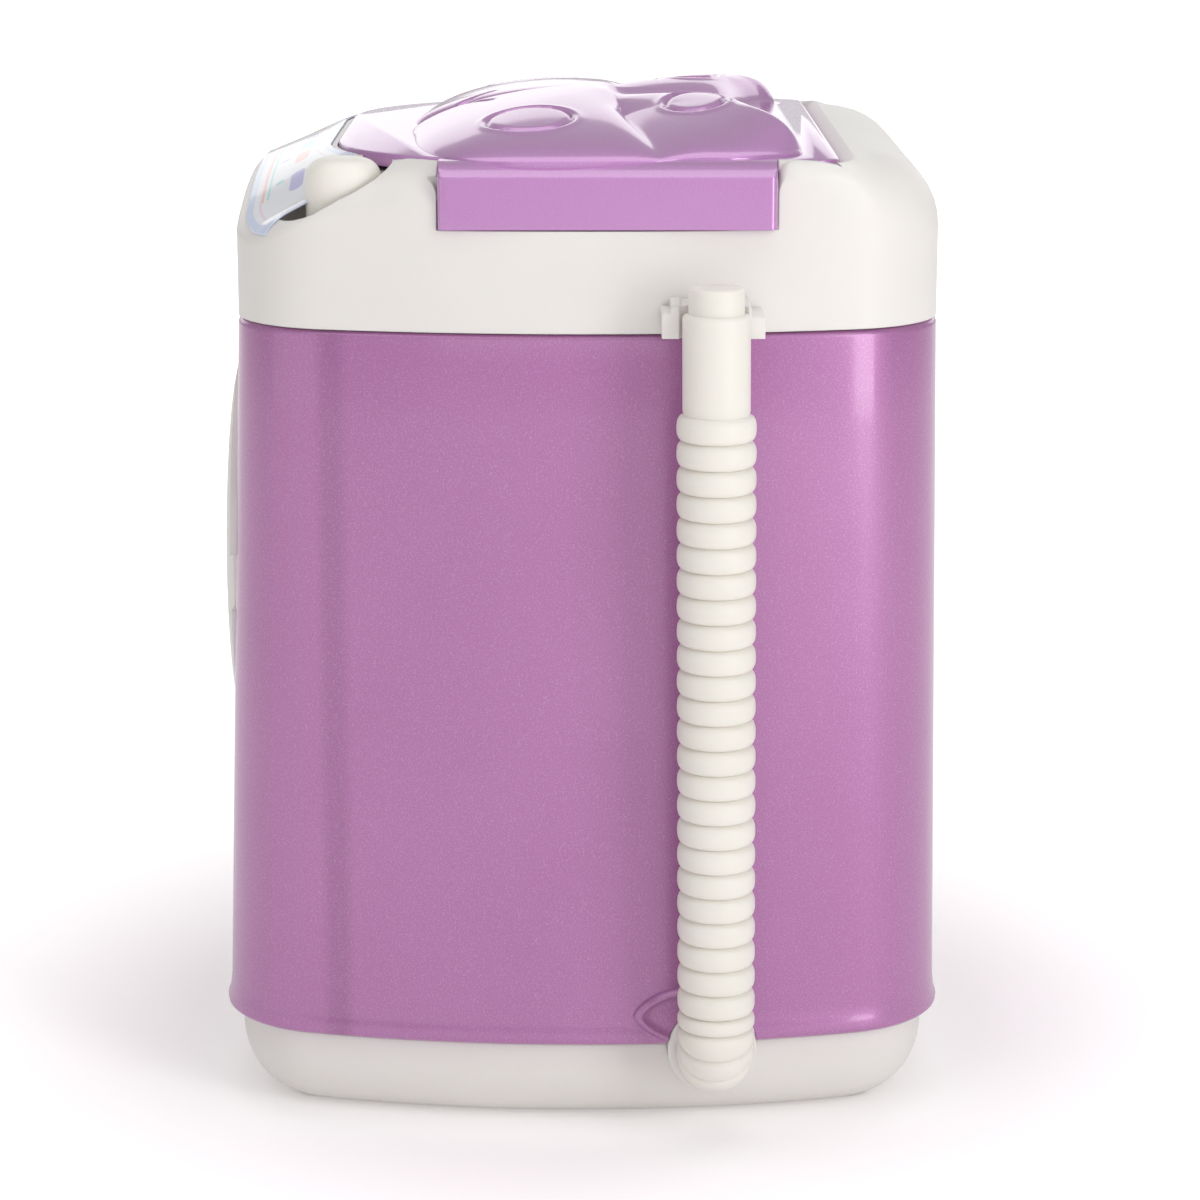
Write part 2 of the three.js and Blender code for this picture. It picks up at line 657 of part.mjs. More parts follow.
function makeFrame() {
  const outer = frameBlock(0, 0);
  const inner = frameBlock(wall, deckThickness);
  const well = alongZ(lidOutline(lidBackGap + wall, lidBackGap + 2 * wall), wellBottomZ, deckZ);
  const cup = scoop(wall, knobFloorZ - deckThickness, deckZ);
  let frame = join(cut(outer, inner), join(well, cup).intersect(outer));
  const skirtBottom = frameBottom - lipHeight;
  const skirt = planSolid([[skirtBottom, wall + slack], [frameBottom + wall, wall + slack]]);
  const shelf = planSolid([[frameBottom, wall / 2], [frameBottom + wall, wall / 2]]);
  frame = frame.add(cut(skirt.add(shelf), planSolid([[skirtBottom - overrun, 2 * wall], [frameBottom + 2 * overrun, 2 * wall]])));
  frame = cut(frame,
    alongZ(lidOutline(slack, lidBackGap), ledgeZ, deckZ + overrun),
    alongZ(lidOutline(-ledgeWidth), wellBottomZ - overrun, deckZ + overrun),
    box(-hingeBayX, hingeBayX, hingeBayFrontY, lidBackY + lidBackGap, wellBottomZ - overrun, deckZ + overrun),
    box(-hingeBayX, hingeBayX, hingeBayFrontY, lidBackY + lidBackGap + rimUndercut, wellBottomZ - overrun, deckZ - rimLip),
    scoop(0, knobFloorZ, deckZ + overrun),
    rodZ(knobX, knobY, frameBottom, deckZ, spindleRadius + runningGap));
  const notchZ = deckZ - notchDepth;
  for (const side of [-1, 1]) {
    const [x0, x1] = [side * (tabInnerX - slack), side * cabinetWidth].sort((a, b) => a - b);
    const [d0, d1] = [side * (lidHalfWidth - ledgeWidth - slack), side * cabinetWidth].sort((a, b) => a - b);
    const [p0, p1] = [0, side * (earOuterX + lidPinLength + slack)].sort((a, b) => a - b);
    const [s0, s1] = [side * (earOuterX + slack), side * (hingeBayX + wall / 2)].sort((a, b) => a - b);
    const socket = rodX(lidHingeY, hingeZ, s0, s1, lidSocketRadius, 16).intersect(outer);
    frame = cut(frame.add(socket), box(x0, x1, notchFront, notchBack, notchZ, deckZ + overrun),
      box(d0, d1, notchFront, notchBack, lidBottomZ - slack, deckZ + overrun),
      rodX(lidHingeY, hingeZ, p0, p1, lidPinRadius + runningGap, 16));
  }
  const clipStub = clipStubWidth + 2 * runningGap;
  return cut(frame, box(topHalfWidth - 3 * wall, cabinetWidth, hoseY - clipStub / 2, hoseY + clipStub / 2,
    clipMiddleZ - clipStub / 4, clipMiddleZ + clipStub / 4));
}

const clipBottomZ = frameBottom + slack;
const clipMiddleZ = clipBottomZ + clipHeight / 2;

// Butterfly outline on the right half, from the head to the tail, as shares of half the span and half
// the depth, hand-placed: front edge, fore wing, the notch between the wings, hind wing and its tip.
const wingShares = [[0, -0.8], [0.12, -0.92], [0.5, -0.87], [0.82, -0.74], [0.97, -0.5], [1, -0.2], [0.99, 0.1],
  [0.95, 0.36], [0.935, 0.55], [0.93, 0.75], [0.88, 0.96], [0.74, 1.13], [0.6, 1.03], [0.42, 0.92], [0.2, 0.84],
  [0, 0.78]];
const valleyShares = { innerX: 0.3, innerY: 0.18, outerX: 0.95, outerY: 0.56, width: 0.2, depth: 0.5 };
const foreWingShare = 0.8;
const wingProfileShares = [1, 0.97, 0.9, 0.78, 0.6, 0.4, 0.2];

function wingOutline(shrink) {
  const half = wingSpan / 2 - shrink;
  const deep = wingDepth / 2 - shrink;
  const side = wingShares.map(([x, y]) => new THREE.Vector3(x * half, wingCentreY + y * deep, 0));
  const curve = new THREE.CatmullRomCurve3([...side, ...side.slice(1, -1).reverse().map((p) => new THREE.Vector3(-p.x, p.y, 0))],
    true, 'centripetal');
  return curve.getPoints(40).slice(0, -1).map((p) => [p.x, p.y]);
}

// Height of the relief: domed wings, a dip along the valley between fore and hind wings on each side.
function wingHeight(x, y, share) {
  const half = wingSpan / 2;
  const deep = wingDepth / 2;
  const dome = Math.sqrt(1 - share ** 4);
  const run = (Math.abs(x) / half - valleyShares.innerX) / (valleyShares.outerX - valleyShares.innerX);
  const valleyY = valleyShares.innerY + run * (valleyShares.outerY - valleyShares.innerY);
  const off = (y - wingCentreY) / deep - valleyY;
  const depth = Math.min(Math.max(run, 0), 1) * Math.exp(-((off / valleyShares.width) ** 2));
  const step = 1 / (1 + Math.exp(-off / (valleyShares.width / 2)));
  const level = foreWingShare + (1 - foreWingShare) * step;
  return wingRise * dome * level * (1 - depth * valleyShares.depth);
}

function wingSolid(shrink, sink, shares) {
  const outline = wingOutline(shrink);
  const rings = shares.map((share) => outline.map(([x, y]) => {
    const px = x * share;
    const py = wingCentreY + (y - wingCentreY) * share;
    return [px, py, lidTopZ - sink + wingHeight(px, py, share)];
  }));
  const foot = outline.map(([x, y]) => [x, y, lidBottomZ - sink]);
  return solid(stack([foot, ...rings]));
}

function makeLid() {
  const back = lidBackY - lidBackChamfer;
  let plate = alongZ(lidOutline(0), lidBottomZ, lidTopZ);
  const chamfer = alongX([[back, lidTopZ + overrun], [back, lidTopZ], [lidBackY, lidTopZ - lidBackChamfer],
    [lidBackY + overrun, lidTopZ - lidBackChamfer], [lidBackY + overrun, lidTopZ + overrun]], -cabinetWidth, cabinetWidth);
  plate = cut(plate, chamfer);
  const y0 = notchFront + tabFrontGap;
  const y1 = notchBack - tabBackGap;
  const tabBottomZ = deckZ - notchDepth + slack;
  for (const side of [-1, 1]) {
    const outerX = topHalfWidth;
    const [b0, b1] = [side * (lidHalfWidth - ledgeWidth), side * (outerX - tabRound)].sort((a, b) => a - b);
    const tab = alongY([[tabInnerX, tabBottomZ], [outerX, tabBottomZ],
      ...arc(outerX - tabRound, lidTopZ - tabRound, tabRound, 0, Math.PI / 2, 4),
      [tabInnerX, lidTopZ]].map(([x, z]) => [side * x, z]), y0, y1).add(box(b0, b1, y0, y1, lidBottomZ, lidTopZ));
    const [e0, e1] = [side * earInnerX, side * earOuterX].sort((a, b) => a - b);
    const [p0, p1] = [side * earInnerX, side * (earOuterX + lidPinLength)].sort((a, b) => a - b);
    const ear = join(rodX(lidHingeY, hingeZ, e0, e1, lidEarRadius, 16),
      box(e0, e1, lidHingeY - lidEarRadius, lidHingeY + lidEarRadius / 2, hingeZ, lidTopZ - lidThickness / 2));
    plate = plate.add(tab).add(ear).add(rodX(lidHingeY, hingeZ, p0, p1, lidPinRadius, 16));
  }
  const grooves = spotPlaces.flatMap((spot) => [spotGrooveRing(spot, -1), spotGrooveRing(spot, 1)]);
  return cut(join(plate, wingSolid(0, 0, wingProfileShares)), ...grooves, headSlot(-1), headSlot(1),
    wingSolid(2 * wall, lidThickness, wingProfileShares.filter((_, i) => i % 3 === 0)));
}

// Oval spots on the wings: places and sizes as shares of half the span and half the depth.
const spotPlaces = [
  { x: 0.64, y: -0.27, wide: 0.15, long: 0.22, share: 0.55 },
  { x: 0.41, y: 0.6, wide: 0.13, long: 0.16, share: 0.5 },
];
const slotShares = { frontX: 0.032, frontY: -0.69, backX: 0.114, backY: -0.47, share: 0.5 };

// A groove round a spot, which follows the wing's surface.
function spotGrooveRing(spot, side) {
  const ring = (grow, rise) => arc(0, 0, 1, 0, 2 * Math.PI, 14).slice(0, -1).map(([u, v]) => {
    const x = side * spot.x * wingSpan / 2 + u * (spot.wide * wingSpan / 2 + grow);
    const y = wingCentreY + spot.y * wingDepth / 2 + v * (spot.long * wingDepth / 2 + grow);
    return [x, y, lidTopZ + wingHeight(x, y, spot.share) + rise];
  });
  return solid(stack([ring(-spotGroove / 2, -spotGrooveDepth), ring(spotGroove / 2, -spotGrooveDepth),
    ring(spotGroove / 2, overrun), ring(-spotGroove / 2, overrun)], true));
}

// One of the two short slots that run out from the head.
function headSlot(side) {
  const from = new THREE.Vector2(side * slotShares.frontX * wingSpan / 2, slotShares.frontY * wingDepth / 2);
  const to = new THREE.Vector2(side * slotShares.backX * wingSpan / 2, slotShares.backY * wingDepth / 2);
  const along = to.clone().sub(from).setLength(slotWidth / 2);
  const outline = [from, to].flatMap((end, i) => {
    const way = i ? 1 : -1;
    return [[end.x + way * along.y, end.y - way * along.x], [end.x - way * along.y, end.y + way * along.x]];
  });
  const floor = lidTopZ + wingHeight(from.x, from.y, slotShares.share) - spotGrooveDepth;
  return alongZ(outline, floor, floor + 2 * overrun);
}

// Wash tray that hangs by its flange from the frame's ledge.
function makeWashTray() {
  const flangeTop = ledgeZ + trayFlangeThickness;
  const flangeBack = hingeBayFrontY - slack;
  const keep = box(-cabinetWidth, cabinetWidth, -cabinetDepth, flangeBack, 0, deckZ);
  const flange = alongZ(lidOutline(-slack), ledgeZ, flangeTop).intersect(keep);
  const bowl = (inset, z0, z1) => alongZ(lidOutline(-ledgeWidth - slack - inset), z0, z1)
    .intersect(box(-cabinetWidth, cabinetWidth, -cabinetDepth, flangeBack - trayFlange - inset, 0, cabinetDepth * 2));
  const bottom = ledgeZ - trayDepth;
  return cut(join(flange, bowl(0, bottom, flangeTop)), bowl(trayWall, bottom + trayWall, flangeTop + overrun));
}

function makeKnob() {
  const bottom = knobFloorZ + slack;
  const rings = [[bottom, knobRadius], [bottom + knobHeight - knobDome, knobRadius]];
  const steps = 5;
  for (let i = 1; i < steps; i++) {
    const angle = (Math.PI / 2) * (i / steps);
    rings.push([bottom + knobHeight - knobDome + knobDome * Math.sin(angle), knobRadius * Math.cos(angle) ** knobBulgeShare]);
  }
  const body = solid(stack(rings.map(([z, radius]) => arc(knobX, knobY, radius, 0, 2 * Math.PI, 24).slice(0, -1)
    .map(([x, y]) => [x, y, z]))));
  const socketTop = bottom + knobHeight / 2;
  return cut(body, rodZ(knobX, knobY, bottom - overrun, socketTop + slack, spindleRadius + runningGap));
}

// The spindle turns with the knob and carries a cam that points inwards, under the deck.
function makeSpindle() {
  const top = knobFloorZ + slack + knobHeight / 2;
  const bottom = knobFloorZ - deckThickness - spindleLength;
  const camTop = bottom + 2 * camThickness;
  const nose = arc(knobX - camLength + camWidth / 2, knobY, camWidth / 2, Math.PI / 2, 1.5 * Math.PI, 6);
  const cam = alongZ([...nose, [knobX, knobY - camWidth / 2], [knobX, knobY + camWidth / 2]], camTop - camThickness, camTop);
  return join(rodZ(knobX, knobY, bottom, top, spindleRadius, 16), cam);
}

// Two brass leaves under the cam, each hung by its foot from the underside of the knob's seat.
function makeSwitchContacts() {
  const camBottom = knobFloorZ - deckThickness - spindleLength + camThickness;
  const top = camBottom - slack;
  return [-1, 1].map((side) => {
    const y = knobY + side * (spindleRadius + slack + switchLeafWidth / 2);
    const [y0, y1] = [y - switchLeafWidth / 2, y + switchLeafWidth / 2];
    const reach = knobX - camLength - 2 * switchLeafThickness;
    return box(reach, knobX - spindleRadius - slack, y0, y1, top - switchLeafThickness, top)
      .add(box(reach, reach + switchLeafThickness, y0, y1, top - switchLeafThickness, knobFloorZ - deckThickness - slack));
  });
}

// Label on the panel: a thin sheet on the bulged slope, with a hollow end that goes round the knob.
function makeLabel() {
  const lowest = frontTopY + labelMargin;
  const highest = panelTopY - labelMargin / 2;
  const acrossSteps = 11;
  const upSteps = 4;
  const cornerX = topHalfWidth - cornerRadius - labelMargin;
  const cornerY = frontTopY + cornerRadius;
  const lower = (x) => cornerY - Math.sqrt((cornerRadius - labelMargin) ** 2 - Math.max(Math.abs(x) - cornerX, 0) ** 2);
  const upper = (x) => panelBackY(x) - labelMargin / 2;
  const nearX = (y) => {
    const ahead = Math.min(Math.max((knobY - y) / labelHollowDepth, 0), 1);
    return Math.min(labelNearX, cabinetHalfX - labelHollowX - labelHollowWidth * Math.sqrt(1 - ahead ** 2));
  };
  const rings = Array.from({ length: acrossSteps + 1 }, (_, i) => {
    const row = Array.from({ length: upSteps + 1 }, (_, j) => {
      const share = j / upSteps;
      const x = labelFarX + ((nearX(lowest + (highest - lowest) * share) - labelFarX) * i) / acrossSteps;
      const y = lower(x) + (upper(x) - lower(x)) * share;
      return [x, y, panelZ(x, y) + labelLift];
    });
    return [...row, ...row.map(([x, y, z]) => [x, y, z + labelThickness]).reverse()];
  });
  return cut(solid(stack(rings)), scoop(labelMargin / 2, frameBottom, deckZ + overrun));
}

// A ring or disc turned about an axis along Y: profile points are a radius and a place on Y.
function turnY(profile, z, sides, closed = false) {
  return solid(stack(profile.map(([radius, y]) => arc(0, z, radius, 0, 2 * Math.PI, sides).slice(0, -1)
    .map(([x, height]) => [x, y, height])), closed));
}

const recessY = surroundFrontY + doorRecess;
const doorBackY = recessY - seam;
const hingeY = surroundFrontY - hingeProud;
const doorSides = 32;

// Door surround: a round inset with a recess for the door, a flange behind the shell's wall and a barrel.
function makeSurround() {
  const inside = planSolid([[shellBottom, wall + slack], [shellTop, wall + slack]]);
  const backY = surroundFrontY + surroundDepth;
  const lugs = [-1, 1].map((side) => {
    const [z0, z1] = [knuckleLength / 2 + runningGap, knuckleLength / 2 + hingeLugLength].map((z) => doorZ + side * z)
      .sort((a, b) => a - b);
    return rodZ(hingeX, hingeY, z0, z1, knuckleRadius, 16)
      .add(box(hingeX, hingeX + knuckleRadius + slack + runningGap, hingeY - knuckleRadius / 2, surroundFrontY + slack, z0, z1));
  });
  const body = join(rodY(0, doorZ, surroundFrontY, backY, surroundRadius, doorSides), ...lugs,
    rodY(0, doorZ, -cabinetDepth, backY, surroundRadius + surroundFlange, doorSides).intersect(inside),
    rodY(0, doorZ, surroundFrontY, surroundFrontY + barrelDepth, doorOpening + barrelWall, doorSides));
  return cut(body, rodY(0, doorZ, surroundFrontY - overrun, recessY, doorRadius + slack, doorSides),
    rodY(0, doorZ, surroundFrontY - overrun, surroundFrontY + barrelDepth + overrun, doorOpening, doorSides),
    box(doorRadius - overrun, surroundRadius + overrun, surroundFrontY - overrun, surroundFrontY + gripDepth,
      doorZ - gripWidth / 2, doorZ + gripWidth / 2),
    rodZ(hingeX, hingeY, doorZ - 2 * knuckleLength, doorZ + 2 * knuckleLength, hingePinRadius + runningGap, 16));
}

function makeDoorRing() {
  const face = doorBackY - doorThickness;
  const inner = windowRadius - windowLip;
  const middle = (doorRadius + windowRadius) / 2;
  const seat = windowRadius + slack;
  const ring = turnY([[doorRadius, doorBackY], [doorRadius, face + doorThickness / 3],
    [doorRadius - doorThickness / 2, face], [middle + windowLip, face - doorCrown], [middle - windowLip, face - doorCrown],
    [inner, face - doorCrown / 2], [inner, doorBackY - windowThickness - slack], [seat, doorBackY - windowThickness - slack],
    [seat, doorBackY]], doorZ, doorSides, true);
  const half = knuckleLength / 2 - runningGap;
  const knuckle = rodZ(hingeX, hingeY, doorZ - half, doorZ + half, knuckleRadius, 16)
    .add(box(hingeX, armReach - doorRadius, hingeY - doorThickness / 3, surroundFrontY - slack, doorZ - half, doorZ + half));
  return cut(join(ring, knuckle),
    rodZ(hingeX, hingeY, doorZ - knuckleLength, doorZ + knuckleLength, hingePinRadius + runningGap, 16));
}

// Window: a rim held in the door ring, and a thin dome that bulges out through it.
function makeWindow() {
  const back = doorBackY - runningGap;
  const rim = windowRadius - windowLip - slack;
  const rimFront = doorBackY - windowThickness;
  const domeSteps = 3;
  const dome = (radius, base, rise) => Array.from({ length: domeSteps }, (_, i) => {
    const angle = (Math.PI / 2) * (i / domeSteps);
    return [radius * Math.cos(angle), base - rise * Math.sin(angle)];
  });
  const proud = doorThickness + windowRise;
  const outside = dome(rim, rimFront, proud - windowThickness);
  const inside = dome(rim - windowThickness, back, proud - windowThickness).reverse();
  return turnY([...inside, [windowRadius, back], [windowRadius, rimFront], ...outside], doorZ, doorSides);
}

function makeHingePin() {
  const half = knuckleLength / 2 + hingeLugLength;
  return rodZ(hingeX, hingeY, doorZ - half, doorZ + half, hingePinRadius, 16);
}

// Fixed tub with a mouth towards the door, a bearing hole at the back and four feet on the front wall.
function makeTub() {
  const shell = turnY([[tubRadius, tubFrontY], [tubRadius, tubBackY], [bearingRadius + slack / 2, tubBackY],
    [bearingRadius + slack / 2, tubBackY - tubWall], [tubRadius - tubWall, tubBackY - tubWall],
    [tubRadius - tubWall, tubFrontY + tubWall], [tubMouthRadius, tubFrontY + tubWall], [tubMouthRadius, tubFrontY]],
  doorZ, 28, true);
  const reach = (tubRadius + overrun) * Math.SQRT1_2;
  const inside = planSolid([[shellBottom, wall + slack], [shellTop, wall + slack]]);
  const feet = [[reach, reach], [-reach, reach], [-reach, -reach], [reach, -reach]]
    .map(([x, z]) => rodY(x, doorZ + z, -cabinetDepth, tubFrontY + tubWall / 2, postRadius - slack, 16).intersect(inside));
  return join(shell, ...feet);
}

// Perforated drum with inner paddles and a hub at the back.
function makeDrum() {
  let drum = turnY([[drumRadius, drumFrontY], [drumRadius, drumBackY], [shaftRadius + runningGap, drumBackY],
    [shaftRadius + runningGap, drumBackY - drumWall - hubLength], [hubRadius, drumBackY - drumWall - hubLength],
    [hubRadius, drumBackY - drumWall], [drumRadius - drumWall, drumBackY - drumWall],
    [drumRadius - drumWall, drumFrontY + drumWall], [drumMouthRadius, drumFrontY + drumWall],
    [drumMouthRadius, drumFrontY]], doorZ, 26, true);
  const rowPitch = (drumBackY - drumFrontY) / (drumHoleRows + 1);
  const reach = drumRadius + overrun;
  for (let row = 1; row <= drumHoleRows; row++) {
    for (let i = 0; i < drumHolesRound / 2; i++) {
      const angle = (2 * Math.PI * (i + (row % 2) / 2)) / drumHolesRound;
      const hole = new THREE.CylinderGeometry(drumHoleRadius, drumHoleRadius, 2 * reach, 6).rotateX(Math.PI / 2);
      drum = drum.subtract(solid(hole.rotateY(angle).translate(0, drumFrontY + row * rowPitch, doorZ)));
    }
  }
  for (let i = 0; i < paddleCount; i++) {
    const root = drumRadius - drumWall / 2;
    const tip = drumRadius - drumWall - paddleHeight;
    const angle = (2 * Math.PI * (i + 1 / 4)) / paddleCount;
    const place = (radius, across) => [radius * Math.cos(angle) - across * Math.sin(angle),
      doorZ + radius * Math.sin(angle) + across * Math.cos(angle)];
    const paddle = alongY([place(root, -paddleWidth / 2), place(root, paddleWidth / 2), place(tip, paddleWidth / 5),
      place(tip, -paddleWidth / 5)], drumFrontY + drumWall / 2, drumBackY - drumWall / 2);
    drum = drum.add(paddle);
  }
  return drum;
}

const bearingBackY = tubBackY + bearingFlange;
const gearFrontY = bearingBackY + gearGap;
const gearBackY = gearFrontY + gearWidth;
const plateFrontY = gearBackY + gearGap;
const plateBackY = plateFrontY + plateThickness;
const motorFrontY = plateBackY + slack;
const motorZ = doorZ - (gearModule * (gearTeeth + pinionTeeth)) / 2 - runningGap;

function makeShaft() {
  return rodY(0, doorZ, drumBackY - drumWall - hubLength, plateBackY, shaftRadius);
}

function makeBearing() {
  const bore = shaftRadius + runningGap;
  const front = bearingBackY - bearingLength - bearingFlange;
  return turnY([[bearingRadius, front], [bearingRadius, tubBackY + runningGap],
    [bearingRadius + bearingFlange, tubBackY + runningGap], [bearingRadius + bearingFlange, bearingBackY],
    [bore, bearingBackY], [bore, front]], doorZ, 24, true);
}

// Toothed wheel: straight-sided teeth from the root to the tip circle, turned by a share of one tooth.
function gearSolid(teeth, z, y0, y1, turn) {
  const pitch = (gearModule * teeth) / 2;
  const root = pitch - gearModule * toothShares.root;
  const tip = pitch + gearModule * toothShares.tip;
  const outline = [];
  for (let i = 0; i < teeth; i++) {
    const at = (share, radius) => {
      const angle = (2 * Math.PI * (i + turn + share)) / teeth;
      return [radius * Math.cos(angle), z + radius * Math.sin(angle)];
    };
    outline.push(at(-toothShares.wide, root), at(-toothShares.narrow, tip), at(toothShares.narrow, tip),
      at(toothShares.wide, root));
  }
  return alongY(outline, y0, y1);
}

const toothShares = { root: 1.15, tip: 0.85, wide: 0.3, narrow: 0.11 };

function makeDrumGear() {
  const boss = rodY(0, doorZ, gearFrontY - gearGap / 2, gearBackY, shaftRadius * 2);
  return gearSolid(gearTeeth, doorZ, gearFrontY, gearBackY, 0).add(boss)
    .subtract(rodY(0, doorZ, gearFrontY - overrun, gearBackY + overrun, shaftRadius + runningGap));
}

// The pinion has a gap between teeth where the big gear has a tooth, straight above its axis.
function makePinion() {
  const extra = (pinionWidth - gearWidth) / 2;
  return gearSolid(pinionTeeth, motorZ, gearFrontY - extra, gearBackY + extra / 2, 0)
    .subtract(rodY(0, motorZ, gearFrontY - overrun, gearBackY + overrun, motorShaftRadius + runningGap, 16));
}

function makeMotorShaft() {
  return rodY(0, motorZ, gearFrontY - gearGap, motorFrontY + motorLength / 4, motorShaftRadius, 16);
}

const postSlimShare = 0.7;
const platePosts = [[1.2, 0.1], [-1.2, 0.1], [-1, -1.3], [1, -1.3]];

// Drive plate behind the gear, on four posts from the tub's back wall. It carries the shaft's end and the motor.
function makeDrivePlate() {
  const pitch = (gearModule * gearTeeth) / 2;
  const side = pitch + 2 * postRadius;
  let plate = box(-side, side, plateFrontY, plateBackY, motorZ - motorRadius, doorZ + hubRadius + postRadius);
  for (const [x, z] of platePosts) {
    plate = plate.add(rodY(x * pitch, doorZ + z * pitch, tubBackY + slack, plateBackY, postRadius * postSlimShare, 16));
  }
  return cut(plate, rodY(0, doorZ, plateFrontY - overrun, plateBackY + overrun, shaftRadius + runningGap),
    rodY(0, motorZ, plateFrontY - overrun, plateBackY + overrun, motorShaftRadius * 3, 16),
    ...[-1, 1].map((end) => rodY(end * motorScrewSpread, motorZ, plateFrontY - overrun, plateBackY + overrun,
      motorScrewRadius + runningGap, 12)));
}

function makeMotor() {
  const can = rodY(0, motorZ, motorFrontY, motorFrontY + motorLength, motorRadius, 32)
    .intersect(box(-motorRadius, motorRadius, motorFrontY, motorFrontY + motorLength, motorZ - motorFlat, motorZ + motorFlat));
  const cap = rodY(0, motorZ, motorFrontY + motorLength, motorFrontY + motorLength + bearingFlange, bearingRadius);
  return cut(can.add(cap), rodY(0, motorZ, motorFrontY - overrun, motorFrontY + motorLength / 4 + slack,
    motorShaftRadius + runningGap, 16), ...[-1, 1].map((end) => rodY(end * motorScrewSpread, motorZ,
    motorFrontY - overrun, motorFrontY + motorScrewRadius * 3 + slack, motorScrewRadius + runningGap, 12)));
}

function makeMotorScrews() {
  const head = motorScrewRadius;
  return [-1, 1].map((end) => rodY(end * motorScrewSpread, motorZ, plateFrontY - head, plateFrontY, 2 * head, 12)
    .add(rodY(end * motorScrewSpread, motorZ, plateFrontY - head / 2, motorFrontY + 3 * head, head, 12)));
}

// Drain hose: neck and cuff at the top, ribs down the side, a bend and a plain plug in the port.
function hosePoint(run) {
  const straight = hoseTop - portZ - hoseBend;
  const bendLength = (Math.PI / 2) * hoseBend;
  if (run <= straight) return { x: hoseX, z: hoseTop - run, lean: 0 };
  if (run <= straight + bendLength) {
    const angle = (run - straight) / hoseBend;
    return { x: hoseX - hoseBend * (1 - Math.cos(angle)), z: portZ + hoseBend * (1 - Math.sin(angle)), lean: angle };
  }
  return { x: hoseX - hoseBend - (run - straight - bendLength), z: portZ, lean: Math.PI / 2 };
}

function hoseRing(run, radius) {
  const { x, z, lean } = hosePoint(run);
  const y = hoseY + hoseLean * Math.min((hoseTop - z) / (hoseTop - portZ), 1);
  return arc(0, 0, radius, 0, 2 * Math.PI, hoseSides).slice(0, -1)
    .map(([u, v]) => [x + u * Math.cos(lean), y + v, z - u * Math.sin(lean)]);
}

const hoseSides = 8;
const hoseRun = hoseTop - portZ - hoseBend + (Math.PI / 2) * hoseBend + hosePlugLength;

function makeHose() {
  const ribStart = neckLength + cuffLength;
  const ribEnd = ribStart + ribCount * ribPitch;
  const outer = [[0, neckRadius], [neckLength, neckRadius], [neckLength, cuffRadius]];
  for (let i = 0; i < ribCount; i++) {
    const start = ribStart + i * ribPitch;
    outer.push([start, ribValley], [start + ribPitch / 2, ribRadius]);
  }
  outer.push([ribEnd, ribValley], [hoseRun, ribValley]);
  const boreSteps = Math.ceil(hoseRun / (5 * ribPitch)) + 4;
  const bore = Array.from({ length: boreSteps + 1 }, (_, i) => [hoseRun - ((hoseRun - hoseCap) * i) / boreSteps, hoseBore]);
  return solid(stack([...outer, ...bore].map(([run, radius]) => hoseRing(run, radius))));
}

// Port: a round socket held between the base and the cabinet shell, which the hose's plug goes into.
function makePort() {
  const wallX = sideX(portY, baseHeight);
  const ring = rodX(portY, portZ, portInnerX, wallX + portReach, portRadius, 32);
  return cut(ring, rodX(portY, portZ, portInnerX - overrun, cabinetWidth, ribValley + slack, 16));
}

// Clip: an open ring round the hose's cuff, on a stub that plugs into the top frame.
function makeClip() {
  const root = sideX(hoseY + clipWidth / 2, frameBottom) + slack;
  const half = clipWidth / 2;
  const body = box(root, clipReach, hoseY - half, hoseY + half, clipBottomZ, clipBottomZ + clipHeight);
  const against = planSolid([[frameBottom - overrun, -slack], [frameTop, -slack]]);
  const stub = box(topHalfWidth - 2 * wall, hoseX - cuffRadius - slack, hoseY - clipStubWidth / 2, hoseY + clipStubWidth / 2,
    clipMiddleZ - clipStubWidth / 4, clipMiddleZ + clipStubWidth / 4);
  const tongue = box(hoseX - overrun, clipReach - slack, hoseY - half + overrun / 2, hoseY - half + 1.5 * overrun,
    clipBottomZ + clipHeight / 2, clipBottomZ + clipHeight + overrun / 2);
  const ring = cut(body.add(tongue), against).add(stub);
  return cut(ring, rodZ(hoseX, hoseY, clipBottomZ - overrun, clipBottomZ + clipHeight + overrun, cuffRadius + slack, 32));
}

